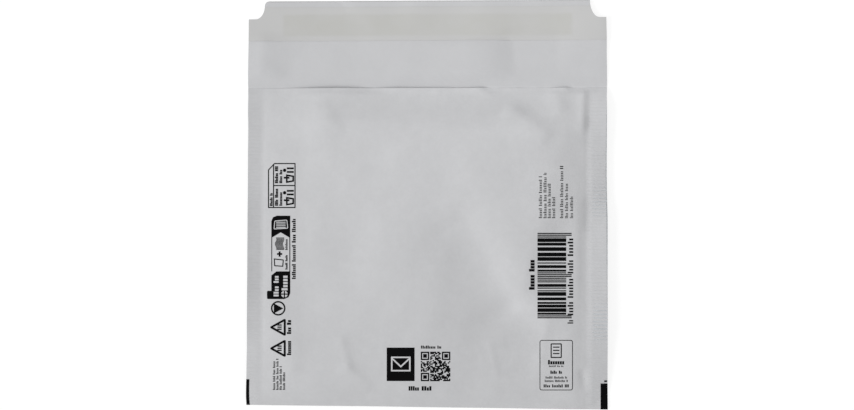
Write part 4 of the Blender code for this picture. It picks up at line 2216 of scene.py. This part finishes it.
@dataclass(frozen=True)
class Lamp:
    """A round, broad lamp that points at the middle of the envelope.

    Attributes:
        name: The lamp's name.
        place: Where it hangs, in metres.
        size: How wide it is.
        power: Its power, in watts.
    """

    name: str
    place: tuple[float, float, float]
    size: float
    power: float

    def hang(self) -> None:
        """Hangs the lamp, out of the camera's sight."""
        deselect_all()
        bpy.ops.object.light_add(type="AREA", location=self.place)
        lamp = bpy.context.object
        lamp.name = self.name
        lamp.data.shape = "DISK"
        lamp.data.size = self.size
        lamp.data.energy = self.power
        lamp.rotation_mode = "QUATERNION"
        lamp.rotation_quaternion = (-Vector(self.place)).to_track_quat("-Z", "Y")
        lamp.visible_camera = False


@dataclass(frozen=True)
class Studio:
    """The white ground, even light all round, a low lamp at the left and one over the flap.

    Attributes:
        surround: How bright the even light is.
        lamps: The lamps.
        ground_size: How wide the ground is, in metres.
        ground_drop: How far it lies under the envelope.
        ground_tone: Its tone in the light that it gives back.
        shadow_tone: Its tone where it is seen, which keeps the shadow.
        glow: How much it glows where it is seen, which makes it white.
    """

    surround: float = 0.495
    lamps: tuple[Lamp, ...] = (
        Lamp("low_lamp", (-6.05, -2.20, 3.85), 3.2, 316.0),
        Lamp("flap_lamp", (0.05, 0.22, 0.36), 0.3, 0.40),
    )
    ground_size: float = 6.0
    ground_drop: float = 0.1 * MM
    ground_tone: float = 0.8
    shadow_tone: float = 0.28
    glow: float = 0.78

    def seen_directly(self, board: ShaderBoard) -> Wire:
        """Gives 1 for light that reaches the camera straight, by gloss or through something.

        Args:
            board: The shader's nodes.

        Returns:
            The share, 0 or 1.
        """
        path = board.add("ShaderNodeLightPath", {})
        kinds = ("Is Camera Ray", "Is Glossy Ray", "Is Transmission Ray")
        camera, gloss, through = (Wire(board, path.outputs[kind]) for kind in kinds)
        return camera.larger(gloss).larger(through)

    def make_ground(self) -> None:
        """Makes the white ground, which keeps a faint shadow."""
        deselect_all()
        bpy.ops.mesh.primitive_plane_add(size=self.ground_size, location=(0.0, 0.0, -self.ground_drop))
        ground = new_object("ground")
        material = bpy.data.materials.new("white_ground")
        material.use_nodes = True
        board = ShaderBoard(material.node_tree)
        tones = (self.ground_tone, self.shadow_tone)
        plain, shadowed = (
            board.result("ShaderNodeBsdfDiffuse", {"Color": (tone, tone, tone, 1.0)}) for tone in tones
        )
        glow = board.result("ShaderNodeEmission", {"Strength": self.glow})
        seen = board.result("ShaderNodeAddShader", {0: shadowed, 1: glow})
        board.finish(board.add("ShaderNodeMixShader", {0: self.seen_directly(board), 1: plain, 2: seen}))
        ground.data.materials.append(material)

    def light_world(self) -> None:
        """Sets the even light, and a white backdrop behind everything."""
        world = bpy.data.worlds.new("studio")
        bpy.context.scene.world = world
        world.use_nodes = True
        board = ShaderBoard(world.node_tree)
        strength = self.seen_directly(board) * (1.0 - self.surround) + self.surround
        inputs = {"Color": (1.0, 1.0, 1.0, 1.0), "Strength": strength}
        board.finish(board.add("ShaderNodeBackground", inputs), "ShaderNodeOutputWorld")

    def build(self) -> None:
        """Sets up the ground, the light and how colours are shown."""
        self.make_ground()
        self.light_world()
        for lamp in self.lamps:
            lamp.hang()
        bpy.context.scene.view_settings.view_transform = "Standard"


# The whole envelope


def read_form() -> EnvelopeForm:
    """Reads the envelope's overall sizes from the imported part.

    Returns:
        The form, with the sizes read.
    """
    low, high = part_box("paper_cover")
    mouth_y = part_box("bubble_liner")[1][1] + FILM_UNDER_MOUTH
    return EnvelopeForm(width=high[0] - low[0], length=high[1] - low[1], mouth_y=mouth_y)


def build_strips(form: EnvelopeForm) -> None:
    """Builds the glue and the release strip that covers it.

    Args:
        form: The envelope's form.
    """
    glue_low, glue_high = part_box("adhesive_strip")
    release_low, release_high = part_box("release_strip")
    glue = FlapStrip(form, "glue_band", glue_low, glue_high, above=0.02 * MM, thickness=0.05 * MM)
    dress(glue.build(), GlueFinish("tacky_glue").make(), "adhesive", "adhesive_strip")
    strip = FlapStrip(
        form, "release_liner", release_low, release_high, above=0.09 * MM, thickness=0.07 * MM, cut=True
    )
    band_x, band_y = (glue_low[0], glue_high[0]), (glue_low[1], glue_high[1])
    finish = ReleaseFinish("coated_release_paper", band_x, band_y)
    dress(strip.build(), finish.make(), "release_paper", "release_strip")


def build_print(form: EnvelopeForm, view: PhotoView, paper: bpy.types.Material) -> None:
    """Builds all that is printed on the front panel and round the fold.

    Args:
        form: The envelope's form.
        view: The photograph's camera.
        paper: The material of what is left bare.
    """
    black = InkFinish("black_ink").make()
    left = LeftPrint(Stencil("print_left"), Stencil("print_left_bare", Layer.BARE))
    middle = MiddlePrint(Stencil("print_middle"), Stencil("print_middle_bare", Layer.BARE))
    right = RightPrint(Stencil("print_right"))
    for group in (left, middle, right):
        group.draw()
    for stencil in (left.ink, middle.ink, right.ink):
        dress(stencil.lay(form, view), black, "printing_ink")
    for stencil in (left.bare, middle.bare):
        dress(stencil.lay(form, view), paper, "paper")
    for mark in (
        EdgeMark(form, "edge_mark_left", (-100.02, -5.0), (-98.2, 15.0)),
        EdgeMark(form, "edge_mark_right", (96.25, -5.0), (100.02, 14.5)),
        EdgeMark(form, "edge_dash", (98.2, 15.4), (99.7, 16.2)),
    ):
        dress(mark.build(), black, "printing_ink")


def main() -> None:
    """Builds the envelope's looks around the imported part."""
    logging.basicConfig(level=logging.INFO, format="%(name)s: %(message)s")
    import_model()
    view = PhotoView()
    view.make_camera()
    form = read_form()
    paper = PaperFinish("white_paper", form.mouth_y).make()
    dress(PaperCover(form).build(), paper, "paper", "paper_cover")
    dress(BubbleLiner(form).build(), FilmFinish("clear_film").make(), "bubble_film", "bubble_liner")
    build_strips(form)
    build_print(form, view, paper)
    Studio().build()


if __name__ == "__main__":
    main()
